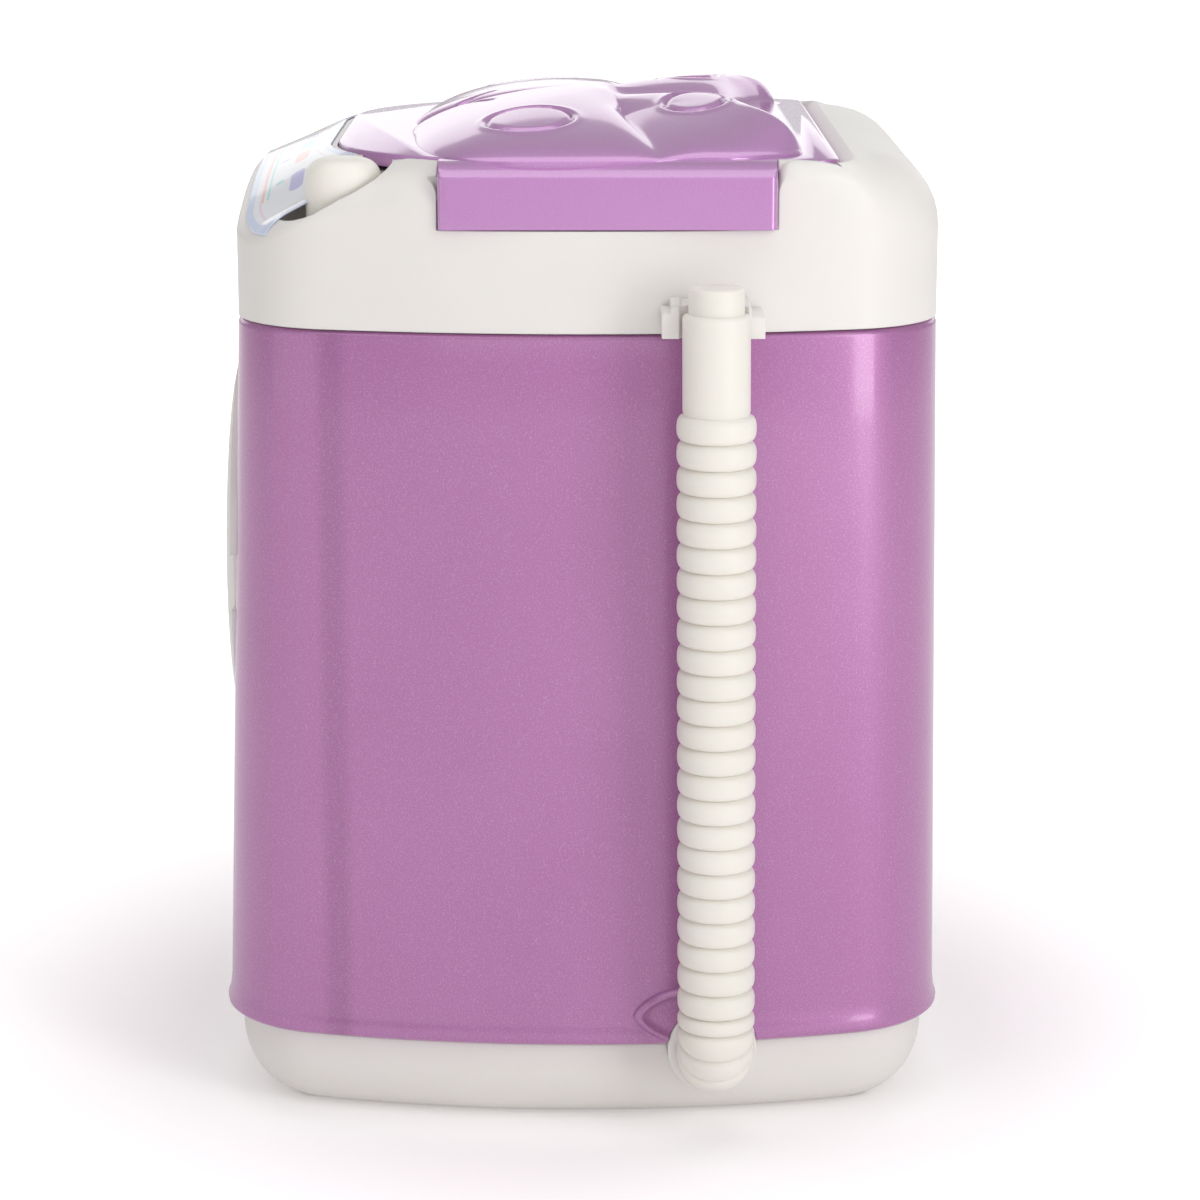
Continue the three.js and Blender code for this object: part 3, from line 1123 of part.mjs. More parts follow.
const parts = {
  base_tray: [makeBaseTray, white, 0.5, 0],
  battery_cover: [makeBatteryCover, white, 0.5, 0],
  battery_cell: [makeCells, 0x55585c, 0.4, 0.3],
  battery_contact: [makeContacts, 0xc8c8c4, 0.3, 1],
  case_screw: [makeScrews, 0xb8b8b6, 0.35, 1],
  cabinet_shell: [makeShell, purple, 0.32, 0.1],
  top_frame: [makeFrame, white, 0.45, 0],
  panel_label: [makeLabel, 0xf4f4f8, 0.25, 0],
  lid: [makeLid, purple, 0.3, 0.1],
  wash_tray: [makeWashTray, white, 0.5, 0],
  selector_knob: [makeKnob, ivory, 0.45, 0],
  selector_spindle: [makeSpindle, white, 0.5, 0],
  switch_contact: [makeSwitchContacts, 0xc9a54a, 0.3, 1],
  door_surround: [makeSurround, white, 0.45, 0],
  door_ring: [makeDoorRing, white, 0.4, 0],
  door_window: [makeWindow, 0x6b5560, 0.08, 0],
  door_hinge_pin: [makeHingePin, 0xb8b8b6, 0.3, 1],
  tub: [makeTub, 0xe6e3e0, 0.5, 0],
  drum: [makeDrum, 0xd9d6d6, 0.4, 0],
  drum_shaft: [makeShaft, 0xb0b0b0, 0.3, 1],
  tub_bearing: [makeBearing, 0xe0ddd0, 0.5, 0],
  drum_gear: [makeDrumGear, 0xf0ede4, 0.5, 0],
  motor_pinion: [makePinion, 0xf0ede4, 0.5, 0],
  motor_shaft: [makeMotorShaft, 0xb0b0b0, 0.3, 1],
  drive_plate: [makeDrivePlate, 0xe6e3e0, 0.5, 0],
  motor: [makeMotor, 0xb4b6b8, 0.35, 0.9],
  motor_screw: [makeMotorScrews, 0xb8b8b6, 0.35, 1],
  drain_hose: [makeHose, warmWhite, 0.5, 0],
  hose_port: [makePort, white, 0.5, 0],
  hose_clip: [makeClip, white, 0.5, 0],
};

const toyWasher = new THREE.Group();
for (const [name, [make, color, roughness, metalness]] of Object.entries(parts)) {
  const material = new THREE.MeshStandardMaterial({ color, roughness, metalness });
  const made = make();
  const copies = Array.isArray(made) ? made : [made];
  copies.forEach((body, i) => {
    const mesh = new THREE.Mesh(shape(body), material);
    mesh.name = copies.length > 1 ? `${name}_${i + 1}` : name;
    toyWasher.add(mesh);
  });
}

export default toyWasher;
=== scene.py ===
"""Toy washing machine: smooth mouldings, the printed panel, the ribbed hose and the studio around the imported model.

Lengths in the classes are millimetres in the model's frame (+Z up, the door faces -Y, the hose is on +X), and each
mesh is written in metres.
"""
import json
import logging
import math
from dataclasses import dataclass
from enum import Enum
from functools import cached_property

import bmesh
import bpy
import numpy as np
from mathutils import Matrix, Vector


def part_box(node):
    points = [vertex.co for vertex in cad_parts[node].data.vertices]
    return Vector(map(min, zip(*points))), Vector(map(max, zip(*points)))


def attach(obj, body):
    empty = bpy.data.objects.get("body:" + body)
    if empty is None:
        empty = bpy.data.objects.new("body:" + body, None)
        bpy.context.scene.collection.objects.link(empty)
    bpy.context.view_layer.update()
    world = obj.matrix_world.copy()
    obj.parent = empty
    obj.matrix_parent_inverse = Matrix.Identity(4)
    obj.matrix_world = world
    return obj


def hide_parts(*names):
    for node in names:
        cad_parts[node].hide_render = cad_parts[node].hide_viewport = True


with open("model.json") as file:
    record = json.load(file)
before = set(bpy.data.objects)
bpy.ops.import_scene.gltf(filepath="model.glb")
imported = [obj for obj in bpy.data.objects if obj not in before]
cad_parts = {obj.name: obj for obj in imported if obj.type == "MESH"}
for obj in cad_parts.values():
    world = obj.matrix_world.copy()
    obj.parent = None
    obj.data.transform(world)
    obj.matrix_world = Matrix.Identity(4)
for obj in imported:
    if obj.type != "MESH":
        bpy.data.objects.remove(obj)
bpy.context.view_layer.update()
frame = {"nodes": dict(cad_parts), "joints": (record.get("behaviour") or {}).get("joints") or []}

Array = np.ndarray
Piece = bpy.types.Object
Socket = bpy.types.NodeSocket
Pair = tuple[float, float]
Place = tuple[float, float, float]
Colour = tuple[float, float, float]

MM = 0.001
log = logging.getLogger("toy_washer")


class Carving(Enum):
    """How one closed mesh changes another."""

    CUT = "DIFFERENCE"
    JOIN = "UNION"


class Slot(Enum):
    """The material slots of the record, passed along with the new pieces but not read."""

    PURPLE = "purple_plastic"
    WHITE = "white_plastic"
    IVORY = "ivory_plastic"
    HOSE = "hose_plastic"
    LABEL = "printed_label"
    WINDOW = "smoky_window"


# Geometry from grids


def grid_faces(rows: int, columns: int, wrap_rows: bool = False, wrap_columns: bool = True) -> Array:
    """Quads between neighbouring points of a grid.

    Args:
        rows: Number of rings.
        columns: Number of points in each ring.
        wrap_rows: Whether the last ring joins the first.
        wrap_columns: Whether each ring is closed.

    Returns:
        One row of four vertex numbers for each quad.
    """
    i, j = np.meshgrid(np.arange(rows if wrap_rows else rows - 1),
                       np.arange(columns if wrap_columns else columns - 1), indexing="ij")
    below, beside = (i + 1) % rows, (j + 1) % columns
    corners = [i * columns + j, i * columns + beside, below * columns + beside, below * columns + j]
    return np.stack(corners, axis=-1).reshape(-1, 4)


def linked(name: str, data: bpy.types.ID) -> Piece:
    """A new object at the origin, linked to the scene."""
    thing = bpy.data.objects.new(name, data)
    bpy.context.scene.collection.objects.link(thing)
    return thing


def new_piece(name: str, points: Array, faces: list[list[int]]) -> Piece:
    """A mesh object from points in millimetres, its faces turned outwards.

    Args:
        name: The object's name.
        points: Vertex places, one row each.
        faces: Vertex numbers of each face.

    Returns:
        The object, at the origin and linked to the scene.
    """
    mesh = bpy.data.meshes.new(name)
    mesh.from_pydata((np.asarray(points) * MM).tolist(), [], faces)
    body = bmesh.new()
    body.from_mesh(mesh)
    bmesh.ops.remove_doubles(body, verts=body.verts, dist=1e-7)
    bmesh.ops.recalc_face_normals(body, faces=body.faces)
    body.to_mesh(mesh)
    body.free()
    return linked(name, mesh)


def loft(name: str, rings: Array, closed: bool = False) -> Piece:
    """Joins rings of equally many points into a closed surface.

    Args:
        name: The object's name.
        rings: Points as an array of rings by points by three.
        closed: Whether the last ring joins the first; otherwise both ends are capped flat.

    Returns:
        The new object.
    """
    rows, columns = rings.shape[:2]
    faces = grid_faces(rows, columns, closed).tolist()
    if not closed:
        faces += [list(range(columns))[::-1], list(range((rows - 1) * columns, rows * columns))]
    return new_piece(name, rings.reshape(-1, 3), faces)


def box(name: str, low: Place, high: Place) -> Piece:
    """A box between two corners, used as a cutter or a rib."""
    (x0, y0, z0), (x1, y1, z1) = low, high
    return prism(name, np.array([[x0, y0], [x1, y0], [x1, y1], [x0, y1]], float), 2, z0, z1)


def turned(name: str, profile: Array, centre: Array, axis: int, sides: int, closed: bool = False) -> Piece:
    """A profile of (radius, place along the axis) turned about a line through a centre.

    A point is the centre plus radius times (cos t, sin t) in the plane across the axis, moved along it.

    Args:
        name: The object's name.
        profile: Rows of radius and place on the axis.
        centre: A point on the axis.
        axis: 0 for X, 1 for Y and 2 for Z.
        sides: Points around.
        closed: Whether the profile is a closed section.

    Returns:
        The new object.
    """
    angle = np.linspace(0, 2 * np.pi, sides, endpoint=False)
    across = [i for i in range(3) if i != axis]
    rings = np.zeros((len(profile), sides, 3))
    rings[..., across[0]] = centre[across[0]] + profile[:, :1] * np.cos(angle)
    rings[..., across[1]] = centre[across[1]] + profile[:, :1] * np.sin(angle)
    rings[..., axis] = profile[:, 1:2]
    return loft(name, rings, closed)


def arc_points(centre: Pair, radius: float, start: float, end: float, steps: int) -> Array:
    """Points on an arc, ends included: the centre plus radius times (cos t, sin t)."""
    angle = np.linspace(start, end, steps + 1)
    return np.column_stack([centre[0] + radius * np.cos(angle), centre[1] + radius * np.sin(angle)])


def prism(name: str, outline: Array, axis: int, low: float, high: float) -> Piece:
    """A flat outline drawn out along an axis from low to high."""
    return loft(name, np.stack([np.insert(outline, axis, place, axis=1) for place in (low, high)]))


def stacked(name: str, levels: list[tuple[Array, float]]) -> Piece:
    """A body through flat outlines, each at its own height."""
    return loft(name, np.stack([np.column_stack([outline, np.full(len(outline), z)]) for outline, z in levels]))


def rod(name: str, radius: float, start: float, end: float, centre: Array, axis: int, sides: int) -> Piece:
    """A round rod between two places on an axis."""
    return turned(name, np.array([[radius, start], [radius, end]]), centre, axis, sides)


def step(value: Array, at: float, softness: float) -> Array:
    """A soft step from 0 to 1 at a place, 1 / (1 + exp(-(value - at) / softness)); a negative softness turns it."""
    return 1 / (1 + np.exp(-(value - at) / softness))


def carve(target: Piece, how: Carving, *tools: Piece) -> Piece:
    """Cuts or joins a closed mesh with others, which are used up.

    Args:
        target: The mesh that changes.
        how: What the tools do to it.
        *tools: The closed meshes that do it.

    Returns:
        The target.
    """
    for tool in tools:
        modifier = target.modifiers.new(tool.name, "BOOLEAN")
        modifier.operation = how.value
        modifier.solver = "MANIFOLD"
        modifier.object = tool
    applied(target)
    for tool in tools:
        bpy.data.objects.remove(tool)
    return target


def applied(piece: Piece) -> Piece:
    """Bakes a piece's modifiers into its mesh."""
    graph = bpy.context.evaluated_depsgraph_get()
    mesh = bpy.data.meshes.new_from_object(piece.evaluated_get(graph))
    piece.modifiers.clear()
    piece.data = mesh
    return piece


def rounded(piece: Piece, width: float, sharp_angle: float = 40.0) -> Piece:
    """Rounds a piece's edges sharper than an angle in degrees, by a width in millimetres."""
    bevel = piece.modifiers.new("round_edges", "BEVEL")
    bevel.width = width * MM
    bevel.segments = 3
    bevel.limit_method = "ANGLE"
    bevel.angle_limit = math.radians(sharp_angle)
    bevel.use_clamp_overlap = True
    return applied(piece)


def merged_copy(node: str, name: str) -> Piece:
    """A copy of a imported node's mesh with its doubled points merged."""
    mesh = frame["nodes"][node].data.copy()
    mesh.materials.clear()
    body = bmesh.new()
    body.from_mesh(mesh)
    bmesh.ops.remove_doubles(body, verts=body.verts, dist=1e-6)
    bmesh.ops.dissolve_limit(body, angle_limit=math.radians(1), verts=body.verts, edges=body.edges)
    body.to_mesh(mesh)
    body.free()
    return linked(name, mesh)


def node_box(node: str) -> tuple[Array, Array]:
    """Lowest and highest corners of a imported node, in millimetres."""
    low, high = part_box(node)
    return np.array(low) / MM, np.array(high) / MM


def lid_hinge() -> Pair:
    """Place on Y and Z of the lid's hinge, in millimetres."""
    joint = next(j for j in frame["joints"] if j["name"] == "lid_hinge")
    return joint["pos_m"][1] / MM, joint["pos_m"][2] / MM


def port_bore(gap: float = 0.06) -> Piece:
    """A cutter for the hole that the hose port sits in."""
    low, high = node_box("hose_port")
    return rod("port_hole", (high[1] - low[1]) / 2 + gap, low[0] - 3, 60, (low + high) / 2, 0, 48)


# Finishes


class Tree:
    """The nodes of a material or the world, added by kind with their inputs set or linked."""

    def __init__(self, owner: bpy.types.Material | bpy.types.World) -> None:
        """Starts with no nodes.

        Args:
            owner: The material or world that they belong to.
        """
        owner.use_nodes = True
        self.nodes, self.links = owner.node_tree.nodes, owner.node_tree.links
        self.nodes.clear()

    def add(self, kind: str, inputs: dict[str | int, object] | None = None, **settings: object) -> bpy.types.Node:
        """Adds a node.

        Args:
            kind: The node's type, without the common start of its name.
            inputs: Values or sockets for its inputs. A colour can have three numbers.
            **settings: The node's own properties.

        Returns:
            The node.
        """
        node = self.nodes.new("ShaderNode" + kind)
        for key, value in settings.items():
            setattr(node, key, value)
        for key, value in (inputs or {}).items():
            socket = node.inputs[key]
            if isinstance(value, Socket):
                self.links.new(value, socket)
            else:
                socket.default_value = (*value, 1.0) if socket.type == "RGBA" and len(value) == 3 else value
        return node

    def maths(self, operation: str, *values: object) -> Socket:
        """The result of a sum or other operation on values or sockets."""
        return self.add("Math", dict(enumerate(values)), operation=operation).outputs[0]

    def ramp(self, factor: Socket, low: float, high: float) -> Socket:
        """A factor stretched from low..high to 0..1 and held there."""
        return self.add("MapRange", {"Value": factor, "From Min": low, "From Max": high}).outputs["Result"]

    def mix(self, factor: object, first: object, second: object) -> Socket:
        """A mix of two colours."""
        return self.add("Mix", {0: factor, 6: first, 7: second}, data_type="RGBA").outputs[2]

    def parts(self, vector: Socket) -> bpy.types.bpy_prop_collection:
        """The three sockets that a vector splits into."""
        return self.add("SeparateXYZ", {0: vector}).outputs

    def where(self) -> Socket:
        """The place in the piece's own coordinates, in metres."""
        return self.add("TexCoord").outputs["Object"]

    def noise(self, scale: float, detail: float = 2.0) -> Socket:
        """Noise in the piece's own coordinates, with scale in cells per metre."""
        return self.add("TexNoise", {"Vector": self.where(), "Scale": scale, "Detail": detail}).outputs["Fac"]

    def uneven(self, factor: Socket, spread: float, lowest: float) -> Socket:
        """A factor of 0 to 1, turned into a value that is uneven by a spread above its lowest."""
        return self.maths("ADD", self.maths("MULTIPLY", factor, spread), lowest)


@dataclass(frozen=True)
class Finish:
    """The recipe of a procedural material: each kind says what goes into the main shader."""

    name: str

    def inputs(self, tree: Tree) -> dict[str, object]:
        """Values or sockets of the tree for the main shader's inputs."""
        raise NotImplementedError

    @cached_property
    def material(self) -> bpy.types.Material:
        """The material, made when it is first asked for."""
        material = bpy.data.materials.new(self.name)
        tree = Tree(material)
        shader = tree.add("BsdfPrincipled", self.inputs(tree))
        tree.add("OutputMaterial", {"Surface": shader.outputs[0]})
        return material


@dataclass(frozen=True)
class MouldedPlastic(Finish):
    """Injection-moulded plastic: a base colour with faint clouding, a fine skin texture and softened edges."""

    colour: Colour
    cloud: Colour
    roughness: float = 0.38
    skin_scale: float = 900.0
    skin_height: float = 0.02
    edge_radius: float = 0.25
    unevenness: float = 0.06
    subsurface: float = 0.0
    coat: float = 0.0
    coat_ior: float = 1.5

    def colours(self, tree: Tree) -> Socket:
        """The base colour, clouded by noise of three octaves."""
        return tree.mix(tree.ramp(tree.noise(45.0, 3.0), 0.35, 0.7), self.colour, self.cloud)

    def skin(self, tree: Tree) -> Socket:
        """The normal: fine skin texture over edges rounded by edge_radius."""
        edge = tree.add("Bevel", {"Radius": self.edge_radius * MM}, samples=6).outputs[0]
        return tree.add("Bump", {"Height": tree.noise(self.skin_scale), "Strength": self.skin_height,
                                 "Distance": 0.2 * MM, "Normal": edge}).outputs[0]

    def inputs(self, tree: Tree) -> dict[str, object]:
        """The clouded colour and the skin, a roughness that is slightly uneven, and a coat where there is one."""
        rough = tree.uneven(tree.noise(160.0, 3.0), self.unevenness, self.roughness - self.unevenness / 2)
        return {"Base Color": self.colours(tree), "Roughness": rough, "Normal": self.skin(tree),
                "Subsurface Weight": self.subsurface, "Subsurface Radius": (1.0, 0.8, 0.6),
                "Subsurface Scale": 1.5 * MM, "Coat Weight": self.coat, "Coat Roughness": 0.1,
                "Coat IOR": self.coat_ior}


@dataclass(frozen=True)
class PearlPlastic(MouldedPlastic):
    """Pearl-coloured plastic: fine bright flakes in a partly metallic base, and a few specks of moulding dirt."""

    flake: Colour = (0.75, 0.5, 0.8)
    flake_scale: float = 6000.0
    flake_share: float = 0.25
    speck_scale: float = 62.0
    speck_radius: float = 0.022
    speck_rarity: float = 0.82
    speck_shade: float = 0.35
    speck_share: float = 0.8
    metallic: float = 0.35
    painted_shade_y: float | None = None
    painted_shade_half: float = 0.0022
    painted_shade_factor: float = 0.86

    def colours(self, tree: Tree) -> Socket:
        """Clouded base colour with a band of painted shade where the sides turn into the front corners, then flakes and
        rare dark specks.
        """
        base = super().colours(tree)
        # Painted shade: a darker band across the sides at one place on Y, where each bowed side turns into its front
        # corner.
        if self.painted_shade_y is not None:
            off = tree.maths("ABSOLUTE", tree.maths("SUBTRACT", tree.parts(tree.where())[1], self.painted_shade_y))
            shaded = tuple(self.painted_shade_factor * channel for channel in self.colour)
            base = tree.mix(tree.ramp(off, self.painted_shade_half, self.painted_shade_half / 3), base, shaded)
        flakes = tree.ramp(tree.noise(self.flake_scale, 1.0), 0.5, 0.75)
        pearl = tree.mix(tree.maths("MULTIPLY", flakes, self.flake_share), base, self.flake)
        cell = tree.add("TexVoronoi", {"Vector": tree.where(), "Scale": self.speck_scale}).outputs
        near = tree.maths("LESS_THAN", cell["Distance"], self.speck_radius)
        chance = tree.add("SeparateColor", {0: cell["Color"]}).outputs[0]
        speck = tree.maths("MULTIPLY", near, tree.maths("GREATER_THAN", chance, self.speck_rarity))
        dark = tuple(self.speck_shade * channel for channel in self.colour)
        return tree.mix(tree.maths("MULTIPLY", speck, self.speck_share), pearl, dark)

    def inputs(self, tree: Tree) -> dict[str, object]:
        """What moulded plastic has, and a metallic share."""
        return super().inputs(tree) | {"Metallic": self.metallic}


@dataclass(frozen=True)
class SmokyClear(Finish):
    """Clear plastic with a brown tint, lightly scuffed."""

    tint: Colour = (0.30, 0.21, 0.22)
    roughness: float = 0.06

    def inputs(self, tree: Tree) -> dict[str, object]:
        """The tint, seen through, with scuffs in the roughness."""
        return {"Base Color": self.tint, "Roughness": tree.uneven(tree.noise(300.0, 4.0), 0.1, self.roughness),
                "Transmission Weight": 0.9, "IOR": 1.49}


@dataclass(frozen=True)
class BareMetal(Finish):
    """Bright metal with fine streaks along one way."""

    colour: Colour
    roughness: float = 0.28
    unevenness: float = 0.16
    streaks: Place = (900.0, 60.0, 900.0)

    def inputs(self, tree: Tree) -> dict[str, object]:
        """The colour, all metallic, with the streaks in the roughness."""
        place = tree.add("Mapping", {"Vector": tree.where(), "Scale": self.streaks}).outputs[0]
        streak = tree.add("TexNoise", {"Vector": place, "Scale": 1.0, "Detail": 2.0}).outputs["Fac"]
        rough = tree.uneven(streak, self.unevenness, self.roughness - self.unevenness / 2)
        return {"Base Color": self.colour, "Metallic": 1.0, "Roughness": rough}


@dataclass(frozen=True)
class Motif:
    """A rounded bar of the print: its middle, its half sizes and its colour, in millimetres on the label."""

    across: float
    up: float
    half_wide: float
    half_high: float
    colour: Colour


@dataclass(frozen=True)
class PrintedLabel(Finish):
    """A film label: coloured border, white field, a thin inner line, and rows of plain bars and dots."""

    width: float
    height: float
    white: Colour = (0.86, 0.87, 0.91)
    border: Colour = (0.66, 0.73, 0.90)
    line: Colour = (0.87, 0.72, 0.80)
    border_width: float = 0.8
    line_width: float = 0.3
    line_gap: float = 0.7
    softness: float = 0.06

    def motifs(self) -> list[Motif]:
        """A row of bars, a row of dots and two lines, spaced evenly along the label."""
        teal, violet, orange = (0.42, 0.74, 0.76), (0.56, 0.54, 0.82), (0.90, 0.52, 0.46)
        colours, count, dot = [teal, orange, violet], 6, 0.55
        pitch = self.width / (count + 1)
        bars = [Motif(pitch * (i + 1), self.height * 0.64, pitch * 0.3, self.height * 0.09, colours[i % 3])
                for i in range(count)]
        dots = [Motif(pitch * (i + 1) - pitch * 0.22, self.height * 0.4, dot, dot, colours[(i + 1) % 3])
                for i in range(count)]
        lines = [Motif(self.width * 0.52, self.height * share, self.width * 0.36, 0.14, colour)
                 for share, colour in ((0.27, teal), (0.2, orange))]
        return bars + dots + lines

    def cover(self, tree: Tree, motif: Motif, x: Socket, y: Socket) -> Socket:
        """How much of a point a motif covers: 1 within its inner box, rounded off by the length of what is outside."""
        round_by = min(motif.half_wide, motif.half_high)
        squares = []
        for at, middle, half in ((x, motif.across, motif.half_wide), (y, motif.up, motif.half_high)):
            off = tree.maths("ABSOLUTE", tree.maths("SUBTRACT", at, middle))
            past = tree.maths("MAXIMUM", tree.maths("SUBTRACT", off, half - round_by), 0.0)
            squares.append(tree.maths("POWER", past, 2.0))
        far = tree.maths("SQRT", tree.maths("ADD", *squares))
        return tree.ramp(far, round_by + self.softness, round_by - self.softness)

    def inputs(self, tree: Tree) -> dict[str, object]:
        """The print, worked out from the label's flat distances to its four edges, under a thin coat."""
        ends = []
        for name in ("flat", "near_end"):
            share = tree.parts(tree.add("UVMap", uv_map=name).outputs[0])
            ends.append([tree.maths("MULTIPLY", share[i], size) for i, size in enumerate((self.width, self.height))])
        edge = tree.maths("MINIMUM", *[tree.maths("MINIMUM", *pair) for pair in zip(*ends)])
        colour = tree.mix(tree.maths("LESS_THAN", edge, self.border_width), self.white, self.border)
        start = self.border_width + self.line_gap
        inside, before = tree.maths("GREATER_THAN", edge, start), tree.maths("LESS_THAN", edge, start + self.line_width)
        colour = tree.mix(tree.maths("MULTIPLY", inside, before), colour, self.line)
        for motif in self.motifs():
            colour = tree.mix(self.cover(tree, motif, *ends[0]), colour, motif.colour)
        return {"Base Color": colour, "Roughness": tree.uneven(tree.noise(400.0, 3.0), 0.08, 0.2),
                "Coat Weight": 0.6, "Coat Roughness": 0.08}


# The shell's purple carries a painted shade band at Y = -29.5 mm, where its sides turn into the front corners.
PURPLE = PearlPlastic("pearl_purple", (0.42, 0.158, 0.375), (0.44, 0.172, 0.395), 0.36, coat=0.8, painted_shade_y=-0.0295)
LILAC = PearlPlastic("pearl_lilac", (0.53, 0.235, 0.54), (0.56, 0.26, 0.57), 0.34, coat=1.0, coat_ior=1.6)
WHITE = MouldedPlastic("warm_white", (0.83, 0.805, 0.775), (0.80, 0.775, 0.745), 0.4, subsurface=0.12)
IVORY = MouldedPlastic("ivory", (0.92, 0.89, 0.83), (0.89, 0.86, 0.79), 0.42, subsurface=0.15)
HOSE_WHITE = MouldedPlastic("hose_white", (0.86, 0.835, 0.775), (0.83, 0.8, 0.73), 0.42, subsurface=0.2,
                            edge_radius=0.1)
SMOKY = SmokyClear("smoky_clear")
INNER = MouldedPlastic("inner_grey_white", (0.68, 0.66, 0.65), (0.64, 0.62, 0.61), 0.45)
CREAM = MouldedPlastic("gear_cream", (0.8, 0.78, 0.68), (0.76, 0.74, 0.64), 0.48)
SLEEVE = MouldedPlastic("cell_sleeve", (0.07, 0.08, 0.1), (0.09, 0.1, 0.12), 0.3)
STEEL = BareMetal("bright_steel", (0.62, 0.62, 0.61))
BRASS = BareMetal("brass_leaf", (0.72, 0.52, 0.2), 0.24)
ZINC = BareMetal("zinc_can", (0.52, 0.53, 0.54), 0.34)


def dress(piece: Piece, finish: Finish) -> None:
    """Gives a piece one material."""
    piece.data.materials.clear()
    piece.data.materials.append(finish.material)


def place(piece: Piece, finish: Finish, crease: float, body: str, slot: Slot, *nodes: str) -> None:
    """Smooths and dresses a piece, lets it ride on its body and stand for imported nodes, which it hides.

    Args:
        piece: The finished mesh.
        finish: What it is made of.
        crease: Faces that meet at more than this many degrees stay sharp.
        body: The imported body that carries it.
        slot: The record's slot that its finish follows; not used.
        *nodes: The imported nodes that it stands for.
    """
    piece.data.polygons.foreach_set("use_smooth", np.ones(len(piece.data.polygons), bool))
    piece.data.set_sharp_from_angle(angle=math.radians(crease))
    dress(piece, finish)
    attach(piece, body)
    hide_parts(*nodes)
    log.info("%s: %d faces, rides on %s", piece.name, len(piece.data.polygons), body)


# The cabinet's plan, which the base, the shell and the top frame share


@dataclass(frozen=True)
class CabinetPlan:
    """Plan of the cabinet: bowed sides, round corners tangent to them, flat front and back, drafted upwards."""

    half_width: float = 45.0
    half_depth: float = 44.0
    draft: float = 2.0
    top_shift: float = 0.65
    bow_radius: float = 135.0
    corner_radius: float = 14.0
    smallest_corner: float = 0.8
    shell_bottom: float = 11.4
    shell_height: float = 86.3
    side_steps: int = 14
    corner_steps: int = 14
    front_steps: int = 10

    def places(self) -> tuple[Array, Array, Array, Array]:
        """Where the points of a whole ring lie, which mirrors a quarter of the plan three times.

        Returns:
            Each point's stretch (0 the side, 1 the corner, 2 the flat front), how far it lies along it from 0 to 1,
            and the signs that its X and Y have.
        """
        steps = (self.side_steps, self.corner_steps, self.front_steps)
        part = np.repeat([0, 1, 2], np.array(steps) + [0, 0, 1])
        share = np.append(np.concatenate([np.arange(n) / n for n in steps]), 1.0)
        n = len(part)
        whole, back = np.arange(n), np.arange(n)[::-1]
        index = np.concatenate([whole, back[1:], whole[1:], back[1:-1]])
        flip_x = np.repeat([1.0, -1.0, 1.0], [n, 2 * n - 2, n - 2])
        flip_y = np.repeat([1.0, -1.0], [2 * n - 1, 2 * n - 3])
        return part[index], share[index], flip_x, flip_y

    def rings(self, heights: Array, insets: Array) -> Array:
        """Rings of the plan at heights, drawn in by insets.

        On the side, a point is the bow's centre plus its radius times (cos t, sin t), up to the angle where the
        corner's arc is tangent to it; the corner's arc runs on to the flat front, which is a straight line.

        Args:
            heights: Places on Z, with a row for each ring, and a column for all points or for each point.
            insets: How far in from the outer face, in the same form.

        Returns:
            An array of rings by points by three.
        """
        part, share, flip_x, flip_y = self.places()
        full = np.broadcast_to(heights, (len(heights), len(part)))
        inset = np.broadcast_to(insets, full.shape)
        rise = np.clip((full - self.shell_bottom) / self.shell_height, 0, 1)
        bow = self.bow_radius - inset
        corner = np.maximum(self.corner_radius - inset, self.smallest_corner)
        half_x = self.half_width - self.draft * rise - inset
        half_y = self.half_depth - self.draft * rise - inset
        bow_x = half_x - bow
        corner_y = half_y - corner
        corner_x = bow_x + np.sqrt((bow - corner) ** 2 - corner_y ** 2)
        start = np.arctan2(corner_y, corner_x - bow_x)
        side_angle = start * share
        corner_angle = start + (np.pi / 2 - start) * share
        on_x = [bow_x + bow * np.cos(side_angle), corner_x + corner * np.cos(corner_angle)]
        on_y = [bow * np.sin(side_angle), corner_y + corner * np.sin(corner_angle)]
        x = np.select([part == 0, part == 1], on_x, corner_x * (1 - share))
        y = np.select([part == 0, part == 1], on_y, half_y)
        return np.stack([x * flip_x, y * flip_y + self.top_shift * rise, full], axis=-1)

    def inset_at(self, x: Array, y: Array) -> tuple[Array, Array, Array]:
        """Inset of points inside the plan's topmost outline, with the nearest point of the outline.

        A point belongs to the bow, the corner or the flat front by its angle about the bow's centre and by its
        place on X, and the inset is the radius there less the distance from that arc's centre.

        Args:
            x: Places on X.
            y: Places on Y.

        Returns:
            The inset, and the nearest outline point's X and Y.
        """
        ax, flat_y = np.abs(x), y - self.top_shift
        ay = np.abs(flat_y)
        half_y = self.half_depth - self.draft
        bow_x = self.half_width - self.draft - self.bow_radius
        corner_y = half_y - self.corner_radius
        corner_x = bow_x + math.sqrt((self.bow_radius - self.corner_radius) ** 2 - corner_y ** 2)
        on_bow = np.arctan2(ay, ax - bow_x) < math.atan2(corner_y, corner_x - bow_x)
        far_bow, far_corner = np.hypot(ax - bow_x, ay), np.hypot(ax - corner_x, ay - corner_y) + 1e-9
        rules = [ax < corner_x, on_bow]
        inset = np.select(rules, [half_y - ay, self.bow_radius - far_bow], self.corner_radius - far_corner)
        inset = np.where(on_bow & (ax < corner_x), np.minimum(half_y - ay, self.bow_radius - far_bow), inset)
        rim_x = np.select(rules, [ax, bow_x + (ax - bow_x) * self.bow_radius / far_bow],
                          corner_x + (ax - corner_x) * self.corner_radius / far_corner)
        rim_y = np.select(rules, [half_y + 0 * ay, ay * self.bow_radius / far_bow],
                          corner_y + (ay - corner_y) * self.corner_radius / far_corner)
        return inset, rim_x * np.sign(x), rim_y * np.sign(flat_y) + self.top_shift

